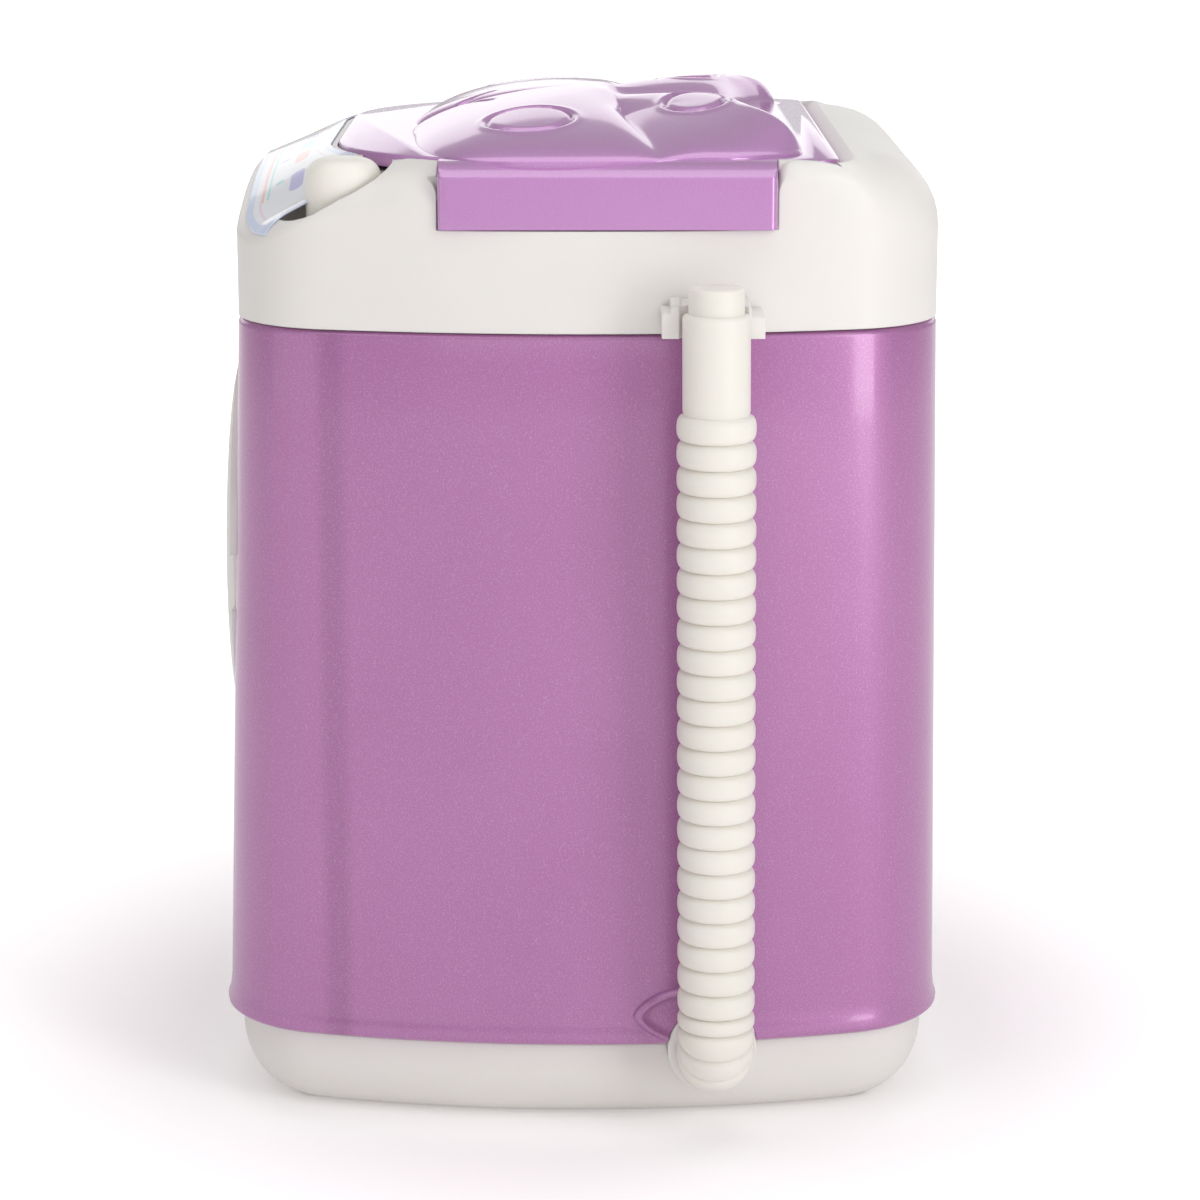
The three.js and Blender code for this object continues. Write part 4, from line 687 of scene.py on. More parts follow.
    def side_x(self, y: float, z: float) -> float:
        """Half the plan's width on the bowed side at a place along Y and a height."""
        rise = min(max((z - self.shell_bottom) / self.shell_height, 0), 1)
        return self.half_width - self.draft * rise - self.bow_radius + math.sqrt(self.bow_radius ** 2 - y ** 2)

    def solid(self, name: str, profile: list[Pair], closed: bool = False) -> Piece:
        """A body whose wall follows the plan through (height, inset) points."""
        heights, insets = np.array(profile, float).T
        return loft(name, self.rings(heights[:, None], insets[:, None]), closed)


@dataclass
class Base:
    """The white base moulding: a rounded tray with the battery bay's recess and screw wells in its underside."""

    plan: CabinetPlan
    inset: float = 1.5
    round_width: float = 7.5
    round_height: float = 9.0
    wall: float = 1.8
    edge: float = 0.35
    lip: float = 3.0
    seam: float = 0.3
    bay_wall: float = 1.5
    lug_half_width: float = 4.3
    lug_reach: Pair = (13.0, 3.4)
    well_radius: float = 2.9
    well_depth: float = 2.9

    def profile(self, extra: float, floor: float, top: float, steps: int) -> list[Pair]:
        """Rounded outline: height floor + (h - floor)(1 - cos t), inset + w(1 - sin t), then straight up."""
        angle = np.linspace(0, np.pi / 2, steps + 1)
        heights = floor + (self.round_height - floor) * (1 - np.cos(angle))
        insets = self.inset + extra + self.round_width * (1 - np.sin(angle))
        return [*zip(heights, insets), (top, self.inset + extra)]

    def bay(self, name: str, grow: float, low: float, high: float) -> Piece:
        """The battery bay's block between two heights, grown sideways."""
        x, y = node_box("battery_cover")[1][0] + grow, node_box("battery_contact_3")[1][1] + grow
        return box(name, (-x, -y, low), (x, y, high))

    def build(self) -> None:
        """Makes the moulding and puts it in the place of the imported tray."""
        top = node_box("cabinet_shell")[0][2] - self.seam
        outer = self.profile(0, 0, top - self.edge, 14) + [(top, self.inset + self.edge)]
        base = self.plan.solid("base_moulding", outer)
        carve(base, Carving.CUT, self.plan.solid("hollow", self.profile(self.wall, self.wall, top + 2, 8)))
        outside, inside = self.wall + self.seam, self.wall + self.inset
        lip = self.plan.solid("lip", [(top - 2, outside), (top + self.lip, outside)])
        carve(lip, Carving.CUT, self.plan.solid("lip_hollow", [(top - 4, inside), (top + 5, inside)]))
        roof = node_box("battery_cell_1")[1][2] + self.seam
        carve(base, Carving.JOIN, lip, self.bay("bay", self.bay_wall, 0, roof + self.bay_wall))
        carve(base, Carving.CUT, self.bay("bay_hollow", self.seam, -2, roof))
        cover = node_box("battery_cover")[1]
        lug_low, lug_high = (cover[1] - reach for reach in self.lug_reach)
        carve(base, Carving.CUT, box("lug_hollow", (-self.lug_half_width, lug_low, -2),
                                     (self.lug_half_width, lug_high, cover[2] + self.seam)))
        wells = [rod("well", self.well_radius, -2, self.well_depth, sum(node_box(f"case_screw_{index}")) / 2, 2, 32)
                 for index in range(1, 5)]
        carve(base, Carving.CUT, *wells)
        carve(base, Carving.CUT, port_bore())
        place(base, WHITE, 32, "cabinet", Slot.WHITE, "base_tray")


@dataclass
class Cabinet:
    """The purple cabinet shell: a drafted tube with a flared foot, the door's hole and the hood by the hose port."""

    plan: CabinetPlan
    wall: float = 1.8
    flare: float = 0.45
    flare_height: float = 3.6
    edge_round: float = 0.8
    door_hole: float = 27.8
    hood_y: float = 13.1
    hood_half_width: float = 6.8
    hood_half_height: float = 3.5
    hood_z: float = 15.0
    hood_reach: float = 1.2
    hood_wall: float = 0.9
    hood_power: float = 0.35
    hood_lip: float = 0.3

    def profile(self) -> list[Pair]:
        """Section of the wall: flared foot, straight side, rounded top edge, and back down inside."""
        low, high = (node_box("cabinet_shell")[i][2] for i in (0, 1))
        top = arc_points((0, 0), self.edge_round, 0, np.pi / 2, 5)
        rounded_top = [(high - self.edge_round + y, self.edge_round - x) for x, y in top]
        side = np.linspace(low + self.flare_height, high - self.edge_round, 9)[:-1]
        foot = [(low, -self.flare + 0.4), (low + 0.3, -self.flare + 0.08), (low + 0.8, -self.flare),
                (low + self.flare_height / 2, -self.flare / 3)]
        return foot + [(z, 0.0) for z in side] + rounded_top + [(high, self.wall), (low, self.wall)]

    def hood_ring(self, shrink: float, x: float) -> Array:
        """Leaf-shaped outline: y = a cos t and z = b sin t |sin t|^p, which draws the two ends to points."""
        t = np.linspace(0, 2 * np.pi, 48, endpoint=False)
        y = self.hood_y + (self.hood_half_width - shrink * 1.5) * np.cos(t)
        z = self.hood_z + (self.hood_half_height - shrink) * np.sin(t) * np.abs(np.sin(t)) ** self.hood_power
        return np.column_stack([np.full(len(t), x), y, z])

    def hood(self) -> Piece:
        """The hood: a rim that stands out from the side wall round a shallow dish."""
        face, lip, wall = self.plan.side_x(self.hood_y, self.hood_z), self.hood_lip, self.hood_wall
        out = face + self.hood_reach
        return loft("hood", np.stack([self.hood_ring(shrink, x) for shrink, x in (
            (-0.25, face - self.wall), (-0.2, face + 0.1), (0, out - lip), (lip, out), (wall - lip, out),
            (wall, out - lip), (wall + 0.5, out - 0.55))]))

    def build(self) -> None:
        """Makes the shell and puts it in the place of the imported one."""
        shell = self.plan.solid("cabinet_moulding", self.profile(), closed=True)
        hood = self.hood()
        carve(hood, Carving.CUT, box("under_seam", (0, 0, 0), (60, 60, node_box("cabinet_shell")[0][2])))
        carve(shell, Carving.JOIN, hood)
        middle = sum(node_box("door_surround"))[2] / 2
        carve(shell, Carving.CUT, rod("door_hole", self.door_hole, -60, -30, (0, 0, middle), 1, 96), port_bore())
        place(shell, PURPLE, 32, "cabinet", Slot.PURPLE, "cabinet_shell")


@dataclass
class TopFrame:
    """The white top frame: rounded shoulders, the bulged control slope, the lid's well, the notches and the scoop."""

    plan: CabinetPlan
    wall: float = 1.8
    back_round: float = 9.0
    slope_shoulder: float = 2.1
    front_shoulder: float = 9.0
    front_fall: float = 0.6
    rear_shoulder: float = 2.2
    brow_round: float = 1.2
    slope_top_y: float = -30.0
    middle_height: float = 15.36
    end_height: float = 9.36
    reach: float = 33.0
    blend: float = 0.9
    deepest: float = 17.0
    lid_drop: float = 0.1
    lid_gap: float = 0.25
    notch: Pair = (-16.8, 22.7)
    notch_depth: float = 7.85
    notch_round: float = 2.0
    notch_x: Place = (36.2, 41.0, 50.0)
    slope_step: Pair = (-26.0, 1.6)
    rear_step: Pair = (3.0, 2.0)
    back_step: Pair = (34.0, 1.6)
    brow_step: Pair = (-38.5, -1.2)
    brow_ends: Pair = (36.0, -1.5)
    swing_radius: float = 4.6
    rim_radius: float = 3.9
    swing_front_y: float = 29.45
    lid_half_width: float = 38.6
    lid_back_y: float = 30.0
    lid_front_radius: float = 24.0
    slope_end_y: float = -21.8
    lid_back_radius: float = 3.0
    rim_chamfer: float = 1.3
    seat: float = 2.1
    knob: Pair = (33.6, -28.0)
    scoop_middle: Pair = (33.4, -29.5)
    scoop_half: Pair = (5.6, 6.8)
    scoop_round: float = 2.6
    scoop_power: float = 2.4
    knob_floor: float = 11.36

    @property
    def bottom(self) -> float:
        """Height of the seam to the shell."""
        return node_box("cabinet_shell")[1][2] + 0.14

    @property
    def deck(self) -> float:
        """Height of the frame's top."""
        return node_box("top_frame")[1][2]

    @property
    def front_y(self) -> float:
        """Place of the front wall on Y."""
        return self.plan.draft - self.plan.half_depth + self.plan.top_shift

    def slope_back(self, x: Array) -> Array:
        """Place on Y of the slope's upper edge, which follows the lid's round front corners."""
        radius = self.lid_front_radius
        past = np.maximum(np.abs(x) - (self.lid_half_width - radius), 0)
        back = self.slope_top_y + radius - np.sqrt(np.maximum(radius ** 2 - past ** 2, 0))
        return np.minimum(back, self.slope_end_y)

    def brow(self, x: Array) -> Array:
        """Height of the slope's front edge: the middle height less a share (x / reach)^2 of its drop to the ends."""
        share = np.clip((x / self.reach) ** 2, 0, 1)
        return self.bottom + self.middle_height - (self.middle_height - self.end_height) * share

    def slope(self, x: Array, y: Array) -> Array:
        """Height of the ruled slope between its front edge and the deck's front line."""
        share = (y - self.front_y) / (self.slope_back(x) - self.front_y)
        low = self.brow(x)
        return low + share * (self.deck - self.lid_drop - low)

    def roof(self, x: Array, y: Array) -> Array:
        """Deck and slope joined by a soft minimum: -w log(exp(-a/w) + exp(-b/w))."""
        low = np.minimum(self.slope(x, y), self.deck + 12)
        return -self.blend * np.logaddexp(-low / self.blend, -self.deck / self.blend)

    def shoulder(self, x: Array, y: Array) -> Array:
        """Radius of the rounded top edge, which grows from the brow over the sides to the back, by soft steps."""
        back, front = step(y, *self.back_step), step(y, *self.brow_step) * step(np.abs(x), *self.brow_ends)
        side = self.front_shoulder + (self.rear_shoulder - self.front_shoulder) * step(y, *self.rear_step)
        side = self.slope_shoulder + (side - self.slope_shoulder) * step(y, *self.slope_step)
        return (side * (1 - back) + self.back_round * back) * (1 - front) + self.brow_round * front

    def drop(self, y: Array, radius: Array, insets: Array) -> Array:
        """How far the shoulder lies below the roof at an inset d: f (R - sqrt(R^2 - (R - d)^2)), and 0 past d = R.

        The share f flattens the shoulder beside the front deck, so that the lid's edge stands above it.
        """
        near_deck = step(y, *self.slope_step) * (1 - step(y, *self.rear_step))
        share = 1 - (1 - self.front_fall) * near_deck
        inside = radius - np.minimum(insets, radius)
        return share * (radius - np.sqrt(np.maximum(radius ** 2 - inside ** 2, 0)))

    def surface(self, x: Array, y: Array) -> Array:
        """Height of the frame's outer form at places on it."""
        inset, rim_x, rim_y = self.plan.inset_at(x, y)
        return self.roof(x, y) - self.drop(rim_y, self.shoulder(rim_x, rim_y), inset)

    def block(self) -> Piece:
        """The frame's outer form: the roof less the shoulder's drop, on rings of the plan."""
        rim = self.plan.rings(np.array([[self.deck]]), np.array([[0.0]]))[0]
        radius = self.shoulder(rim[:, 0], rim[:, 1])
        angle = np.linspace(0, np.pi / 2, 10)[:, None]
        insets = radius * (1 - np.cos(angle))
        inner = np.linspace(0, 1, 26)[1:, None]
        insets = np.concatenate([insets, radius + (self.deepest - radius) * inner])
        rings = self.plan.rings(np.full_like(insets, self.deck), insets)
        x, y = rings[..., 0], rings[..., 1]
        rings[..., 2] = self.roof(x, y) - self.drop(rim[:, 1], radius, insets)
        edge = rings[:1].copy()
        share = np.linspace(0, 1, 8)[:-1, None]
        walls = np.repeat(edge, len(share), axis=0)
        walls[..., 2] = self.bottom + share * (edge[0, :, 2] - self.bottom)
        return loft("top_frame_moulding", np.concatenate([walls, rings]))

    def lid_outline(self, grow: float, grow_back: float | None = None) -> Array:
        """Outline of the lid grown by a gap: four arcs, wide at the front and tight at the back."""
        back_gap, steps = grow if grow_back is None else grow_back, 24
        half = self.lid_half_width + grow
        front, back = self.slope_top_y + 0.3 - grow, self.lid_back_y + back_gap
        big, small = self.lid_front_radius + grow, max(self.lid_back_radius + grow, 0.8)
        return np.concatenate([
            arc_points((half - big, front + big), big, -np.pi / 2, 0, steps),
            arc_points((half - small, back - small), small, 0, np.pi / 2, steps // 3),
            arc_points((small - half, back - small), small, np.pi / 2, np.pi, steps // 3),
            arc_points((big - half, front + big), big, np.pi, 1.5 * np.pi, steps)])

    def well_cutter(self) -> Piece:
        """The lid's well, whose back edge is chamfered."""
        deck = self.deck
        straight, wide = self.lid_outline(0.2, 0.5), self.lid_outline(0.22, 0.5 + self.rim_chamfer)
        return stacked("well", [(straight, deck - 3.5), (straight, deck - self.rim_chamfer), (wide, deck + 0.02),
                                (wide, deck + 14)])

    def scoop_outline(self, grow: float) -> Array:
        """Outline of the knob's recess: a superellipse, longer towards the front."""
        angle = np.linspace(0, 2 * np.pi, 72, endpoint=False)
        half = np.array(self.scoop_half) + grow
        wave = np.column_stack([np.cos(angle), np.sin(angle)])
        return self.scoop_middle + half * np.sign(wave) * np.abs(wave) ** (2 / self.scoop_power)

    def scoop_cutter(self) -> Piece:
        """The recess: a rounded floor, then walls that open slightly towards the top."""
        floor = self.bottom + self.knob_floor
        foot = [(self.scoop_round * (math.sin(a) - 1), floor + self.scoop_round * (1 - math.cos(a)))
                for a in np.linspace(0, np.pi / 2, 9)]
        wall = [(0.15, floor + 5.0), (0.5, self.deck - 0.6), (1.6, self.deck + 0.6), (2.2, self.deck + 5)]
        return stacked("scoop", [(self.scoop_outline(grow), z) for grow, z in foot + wall])

    def lid_swing(self) -> list[Piece]:
        """The room that the lid's back edge turns in about the hinge: wide under the well's rim, narrow at its top."""
        y, z = lid_hinge()
        turn = arc_points((y, z), self.swing_radius, math.radians(-20), math.radians(24), 14)
        front = np.array([[self.swing_front_y, turn[-1, 1]], [self.swing_front_y, turn[0, 1]]])
        half = self.lid_half_width + self.lid_gap
        return [prism("lid_swing", np.concatenate([turn, front]), 0, -half, half),
                rod("lid_turn", self.rim_radius, -half, half, (0, y, z), 0, 72)]

    def notch_corner(self, side: int, edge: float, outwards: int) -> Piece:
        """What a notch's upper corner loses: a square less a quarter circle, that follows the frame's surface."""
        radius, over = self.notch_round, 1.0
        x = side * np.linspace(self.lid_half_width + 0.8, self.plan.half_width + 1.0, 26)
        z = np.maximum(self.surface(x, np.full_like(x, edge)), self.deck - radius)
        turn = arc_points((-radius, -radius), radius, np.pi / 2, 0, 8)
        section = np.concatenate([[[over, over + 2], [-radius, over + 2]], turn, [[over, -radius]]])
        return loft("notch_corner", np.stack([
            np.column_stack([np.full(len(section), at), edge + outwards * section[:, 0], high + section[:, 1]])
            for at, high in zip(x, z)]))

    def notches(self) -> list[Piece]:
        """The notches that the lid's tabs lie in: on each side a deep one, a shallow one and two round corners."""
        (y0, y1), (deck_x, tab_x, far), cutters = self.notch, self.notch_x, []
        for side in (-1, 1):
            for inner, depth in ((tab_x, self.notch_depth), (deck_x, 2)):
                x0, x1 = sorted((side * inner, side * far))
                cutters.append(box("notch", (x0, y0, self.deck - depth), (x1, y1, self.deck + 5)))
            cutters += [self.notch_corner(side, edge, outwards) for edge, outwards in ((y0, 1), (y1, -1))]
        return cutters

    def build(self) -> None:
        """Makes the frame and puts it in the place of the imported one."""
        body, bottom, inner_top = self.block(), self.bottom, self.deck - 5.5
        levels = (bottom - 2, bottom + 6, bottom + 7.5, inner_top - 3, inner_top)
        hollow = self.plan.solid("hollow", [(z, self.wall + more) for z, more in zip(levels, (0, 0, 1.5, 3.5, 9))])
        cup = prism("cup", self.scoop_outline(1.8), 2, bottom + self.knob_floor - 2, self.deck + 5)
        carve(hollow, Carving.CUT, cup)
        opening = prism("opening", self.lid_outline(-self.seat), 2, bottom + 2, self.deck + 5)
        for cutter in (hollow, self.well_cutter(), opening, *self.lid_swing(), *self.notches(), self.scoop_cutter()):
            carve(body, Carving.CUT, cutter)
        place(body, WHITE, 32, "cabinet", Slot.WHITE, "top_frame")


@dataclass
class Panel:
    """The printed label on the control slope, hollowed round the scoop."""

    top: TopFrame
    margin: float = 1.4
    lift: float = 0.12
    thickness: float = 0.22
    far_x: float = -30.0
    near_x: float = 35.5
    hollow: Place = (37.0, 10.4, 8.3)
    columns: int = 90
    rows: int = 24

    def build(self) -> None:
        """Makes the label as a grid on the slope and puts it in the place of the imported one.

        A point at shares (u, v) lies at x = far + u (near(v) - far) and y = lower(x) + v (upper(x) - lower(x)), on
        the slope. lower(x) follows the cabinet's round corner and upper(x) the lid's, and near(v) is a quarter of
        an ellipse round the knob's recess.
        """
        top = self.top
        lowest, highest = top.front_y + self.margin, top.slope_top_y - self.margin / 2
        u, v = np.meshgrid(np.linspace(0, 1, self.columns), np.linspace(0, 1, self.rows), indexing="ij")
        middle_x, across, along = self.hollow
        ahead = np.clip((top.knob[1] - lowest - v * (highest - lowest)) / along, 0, 1)
        near = np.minimum(self.near_x, middle_x - across * np.sqrt(1 - ahead ** 2))
        x = self.far_x + u * (near - self.far_x)
        radius = top.plan.corner_radius
        past = np.maximum(np.abs(x) - (top.plan.half_width - top.plan.draft - radius - self.margin), 0)
        lower = top.front_y + radius - np.sqrt((radius - self.margin) ** 2 - past ** 2)
        upper = top.slope_back(x) - self.margin / 2
        y = lower + v * (upper - lower)
        z = top.surface(x, y) + self.lift
        sheet = np.stack([x, y, z], axis=-1)
        above = sheet + np.array([0, 0, self.thickness])
        points = np.concatenate([sheet.reshape(-1, 3), above.reshape(-1, 3)])
        count = self.columns * self.rows
        under = grid_faces(self.columns, self.rows, wrap_columns=False)
        faces = under[:, ::-1].tolist() + (under + count).tolist()
        number = np.arange(count).reshape(self.columns, self.rows)
        rim = np.concatenate([number[:, 0], number[-1, 1:], number[-2::-1, -1], number[0, -2:0:-1]])
        follow = np.roll(rim, -1)
        faces += np.stack([rim, follow, follow + count, rim + count], axis=-1).tolist()
        mesh = bpy.data.meshes.new("panel_print")
        mesh.from_pydata((points * MM).tolist(), [], faces)
        width, height = self.near_x - self.far_x, highest - lowest
        loops = np.zeros(len(mesh.loops), int)
        mesh.loops.foreach_get("vertex_index", loops)
        for name, across, up in (("flat", x - self.far_x, y - lower), ("near_end", near - x, upper - y)):
            flat = np.tile(np.column_stack([across.ravel() / width, up.ravel() / height]), (2, 1))
            mesh.uv_layers.new(name=name).data.foreach_set("uv", flat[loops].ravel())
        film = PrintedLabel("panel_film", width, height)
        place(linked("panel_print", mesh), film, 32, "cabinet", Slot.LABEL, "panel_label")


@dataclass
class Knob:
    """The ivory selector: a round push-on knob with a domed top."""

    dome: float = 2.6
    groove: float = 0.25

    def build(self) -> None:
        """Makes the knob, whose top is a superellipse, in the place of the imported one."""
        low, high = node_box("selector_knob")
        centre, radius = (low + high) / 2, (high[0] - low[0]) / 2
        angle = np.linspace(0, np.pi / 2, 18)[:-1]
        top = np.column_stack([radius * np.cos(angle) ** 0.55, high[2] - self.dome + self.dome * np.sin(angle) ** 0.9])
        end = np.array([[0.15, high[2]]])
        foot = np.array([[radius - self.groove, low[2]], [radius, low[2] + self.groove]])
        knob = turned("selector_knob_moulding", np.concatenate([foot, top, end]), centre, 2, 72)
        place(knob, IVORY, 50, "knob", Slot.IVORY, "selector_knob")


@dataclass
class Lid:
    """The purple lid: a plate with two side tabs and a puffed butterfly with outlined spots on it."""

    top: TopFrame
    thickness: float = 1.6
    edge: float = 0.35
    tab_inner_x: float = 41.3
    tab_fall: float = 1.4
    tab_round: float = 0.25
    tab_gaps: Pair = (0.18, 0.2)
    tab_corner: float = 0.8
    tab_root_x: float = 37.2
    lid_flat_x: float = 38.6
    ear_radius: float = 1.9
    pin_radius: float = 0.9
    ear_x: Place = (34.3, 36.3, 38.3)
    span: float = 82.6
    depth: float = 46.0
    rise: float = 5.45
    fore_share: float = 0.98
    valley: Pair = (1.7, 6.5)
    ridge: Place = (10.0, 20.0, 10.0)
    hind_edge: Pair = (38.6, 16.0)
    seam: Place = (3.6, 5.4, 38.0)
    seam_widths: Pair = (1.3, 3.6)
    seam_depth: float = 0.38
    spots: tuple[tuple[float, ...], ...] = ((26.0, -6.3, 6.0, 5.1), (16.5, 13.8, 5.4, 3.7))
    spot_groove: Pair = (0.42, 0.33)
    spot_bank: Place = (0.14, 0.75, 0.5)
    spot_swell: Pair = (0.12, -0.2)
    feeler: tuple[Pair, ...] = ((1.6, -15.2), (6.0, -11.4))
    feeler_groove: Pair = (0.7, 0.42)
    hind_fall: float = 0.68
    middle_y: float = 2.0
    around: int = 420
    along: int = 120

    def outline(self) -> Array:
        """The butterfly's outline: shares of half the span and depth, joined by a closed smooth curve."""
        shares = np.array([[0, -0.80], [0.06, -0.88], [0.12, -0.92], [0.3, -0.90], [0.5, -0.87], [0.68, -0.82],
                           [0.82, -0.74], [0.93, -0.62], [0.985, -0.45], [1, -0.2], [0.99, 0.1], [0.965, 0.34],
                           [0.935, 0.53], [0.935, 0.74], [0.885, 0.94], [0.82, 1.09], [0.74, 1.13], [0.6, 1.03],
                           [0.42, 0.92], [0.2, 0.84], [0, 0.78]])
        half = shares * [self.span / 2, self.depth / 2]
        whole = np.concatenate([half, half[-2:0:-1] * [-1, 1]])
        step = np.linalg.norm(np.roll(whole, -1, axis=0) - whole, axis=1)
        place_at = np.concatenate([[0], np.cumsum(step)])
        wanted = np.linspace(0, place_at[-1], self.around, endpoint=False)
        return self.spline(whole, place_at, wanted)

    @staticmethod
    def spline(points: Array, knots: Array, wanted: Array) -> Array:
        """A closed cubic through points: Hermite pieces whose slopes are the neighbours' difference."""
        closed = np.concatenate([points, points[:1]])
        ahead, behind = np.roll(points, -1, axis=0), np.roll(points, 1, axis=0)
        gaps = np.diff(knots)
        slope = (ahead - behind) / (gaps + np.roll(gaps, 1))[:, None]
        slopes = np.concatenate([slope, slope[:1]])
        i = np.clip(np.searchsorted(knots, wanted, side="right") - 1, 0, len(gaps) - 1)
        h = gaps[i][:, None]
        t = ((wanted - knots[i]) / gaps[i])[:, None]
        return ((2 * t ** 3 - 3 * t ** 2 + 1) * closed[i] + (t ** 3 - 2 * t ** 2 + t) * h * slopes[i]
                + (3 * t ** 2 - 2 * t ** 3) * closed[i + 1] + (t ** 3 - t ** 2) * h * slopes[i + 1])

    def relief(self, x: Array, y: Array, share: Array) -> Array:
        """Height of the butterfly above the plate.

        Over the share s of the way out the fore wings are domed, (1 - s^2)^0.7, and the hind wings flat-topped with
        a round rim, (1 - s^9)^(1/2.2), less a slope that falls outwards from a ridge on a slant and a valley between
        the ridges. Between them a crease of depth exp(-d / w) falls steeply from the fore wing and rises gently to
        the hind wing. Rings outline the spots, ovals by their middle and half sizes, and two grooves are the feelers.
        """
        ax = np.abs(x)
        start_y, climb, reach = self.seam
        off = y - start_y - climb * (ax / reach) ** 1.6
        hind = step(np.clip(off, -20, 20), 0, 0.5)
        fore_dome = np.maximum(1 - share ** 2, 0) ** 0.7
        ridge_x = self.ridge[0] + self.ridge[1] * np.clip((y - self.ridge[2]) / 18, 0, 1.2) ** 1.5
        edge_x = self.hind_edge[0] - 8 * np.clip((y - self.hind_edge[1]) / 10, 0, 1) ** 2
        down = np.clip((ax - ridge_x) / np.maximum(edge_x - ridge_x, 3), 0, 1.1)
        hind_dome = np.maximum(1 - share ** 9, 0) ** (1 / 2.2) * (1 - self.hind_fall * down ** 1.25)
        dome = fore_dome + (hind_dome - fore_dome) * hind
        level = self.fore_share + (1 - self.fore_share) * hind
        width = np.where(off < 0, *self.seam_widths)
        crease = self.seam_depth * np.clip((ax - 5) / 12, 0, 1) * np.exp(-np.abs(off) / width)
        height = self.rise * level * dome * (1 - crease)
        height -= self.valley[0] * np.exp(-(ax / self.valley[1]) ** 2) * hind * dome
        for middle_x, middle_y, wide, long in self.spots:
            off_ring = (np.hypot((ax - middle_x) / wide, (y - middle_y) / long) - 1) * min(wide, long)
            height -= self.spot_groove[0] * np.exp(-(off_ring / self.spot_groove[1]) ** 2)
            height += self.spot_bank[0] * np.exp(-((off_ring - self.spot_bank[1]) / self.spot_bank[2]) ** 2)
            height += self.spot_swell[0] * step(off_ring, 0, self.spot_swell[1])
        start, end = np.array(self.feeler)
        way = end - start
        t = np.clip(((ax - start[0]) * way[0] + (y - start[1]) * way[1]) / (way @ way), 0, 1)
        gap = np.hypot(ax - start[0] - t * way[0], y - start[1] - t * way[1])
        return height - self.feeler_groove[0] * np.exp(-(gap / self.feeler_groove[1]) ** 2)

    def butterfly(self, plate_top: float) -> Piece:
        """The butterfly as rings from its outline to its middle, on a foot sunk into the plate."""
        rim = self.outline()
        share = np.sin(np.linspace(np.pi / 2, 0.004, self.along))[:, None]
        x, y = rim[:, 0] * share, self.middle_y + (rim[:, 1] - self.middle_y) * share
        rings = np.stack([x, y, plate_top + self.relief(x, y, share)], axis=-1)
        foot = np.column_stack([rim, np.full(len(rim), plate_top - self.thickness / 2)])[None]
        return loft("butterfly", np.concatenate([foot, rings]))

    def tab(self, side: int, top_z: float, bottom_z: float) -> Piece:
        """A side tab: a section that curls down from the plate, drawn along Y, its two ends rounded."""
        low, half = node_box("lid")[0][2], node_box("lid")[1][0]
        y0, y1 = self.top.notch[0] + self.tab_gaps[0], self.top.notch[1] - self.tab_gaps[1]
        radius = self.tab_round
        curl = arc_points((half - radius, top_z - self.tab_fall - radius), radius, 0, np.pi / 3, 6)
        way = np.linspace(0, 1, 9)[1:]
        slope = np.column_stack([curl[-1, 0] - way * (half - radius - self.lid_flat_x),
                                 top_z - (top_z - curl[-1, 1]) * (1 - way) ** 1.7])
        section = np.concatenate([[[self.tab_inner_x, low], [half, low]], curl, slope, [
            [self.tab_root_x, top_z], [self.tab_root_x, bottom_z], [self.tab_inner_x, bottom_z]]])
        turn = arc_points((0, 0), self.tab_corner, np.pi / 2, 0, 5)
        ends = [(y0 + self.tab_corner - b, self.tab_corner - a) for a, b in turn[::-1, ::-1]]
        ends += [(y1 - self.tab_corner + b, self.tab_corner - a) for a, b in turn[:, ::-1]]
        outside = section[:, 0] > self.tab_inner_x + self.tab_corner
        return loft("tab", np.stack([
            np.column_stack([side * (section[:, 0] - outside * inset), np.full(len(section), at), section[:, 1]])
            for at, inset in ends]))

    def ears(self, bottom_z: float) -> Piece:
        """The two hinge ears with their pins, under the back corners, as one mesh joined by the plate."""
        y, z = lid_hinge()
        radius, parts = self.ear_radius, []
        for side in (-1, 1):
            (e0, e1), (p0, p1) = (sorted((side * self.ear_x[0], side * end)) for end in self.ear_x[1:])
            ear = rod("ear", radius, e0, e1, (0, y, z), 0, 32)
            stem = box("stem", (e0, y - radius, z), (e1, y + radius / 2, bottom_z + self.thickness / 2))
            parts.append(carve(ear, Carving.JOIN, rod("pin", self.pin_radius, p0, p1, (0, y, z), 0, 24), stem))
        return carve(parts[0], Carving.JOIN, parts[1])

    def build(self) -> None:
        """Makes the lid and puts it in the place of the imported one."""
        top_z = self.top.deck - self.top.lid_drop
        bottom_z, soft = top_z - self.thickness, self.edge * 0.3
        outlines = [self.top.lid_outline(-inset) for inset in (0, 0, soft, self.edge)]
        lid = stacked("lid_moulding", list(zip(outlines, (bottom_z, top_z - self.edge, top_z - soft, top_z))))
        for side in (-1, 1):
            carve(lid, Carving.JOIN, self.tab(side, top_z, bottom_z))
        carve(lid, Carving.JOIN, self.ears(bottom_z), self.butterfly(top_z))
        place(lid, LILAC, 38, "lid", Slot.PURPLE, "lid")


class Door:
    """The round door: surround on the cabinet, ring with a grip and a knuckle, and the smoky window."""

    def build(self) -> None:
        """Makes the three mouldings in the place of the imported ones."""
        for node, body, finish, slot in (("door_surround", "cabinet", WHITE, Slot.WHITE),
                                         ("door_ring", "door", WHITE, Slot.WHITE),
                                         ("door_window", "door", SMOKY, Slot.WINDOW)):
            place(merged_copy(node, f"{node}_moulding"), finish, 30, body, slot, node)


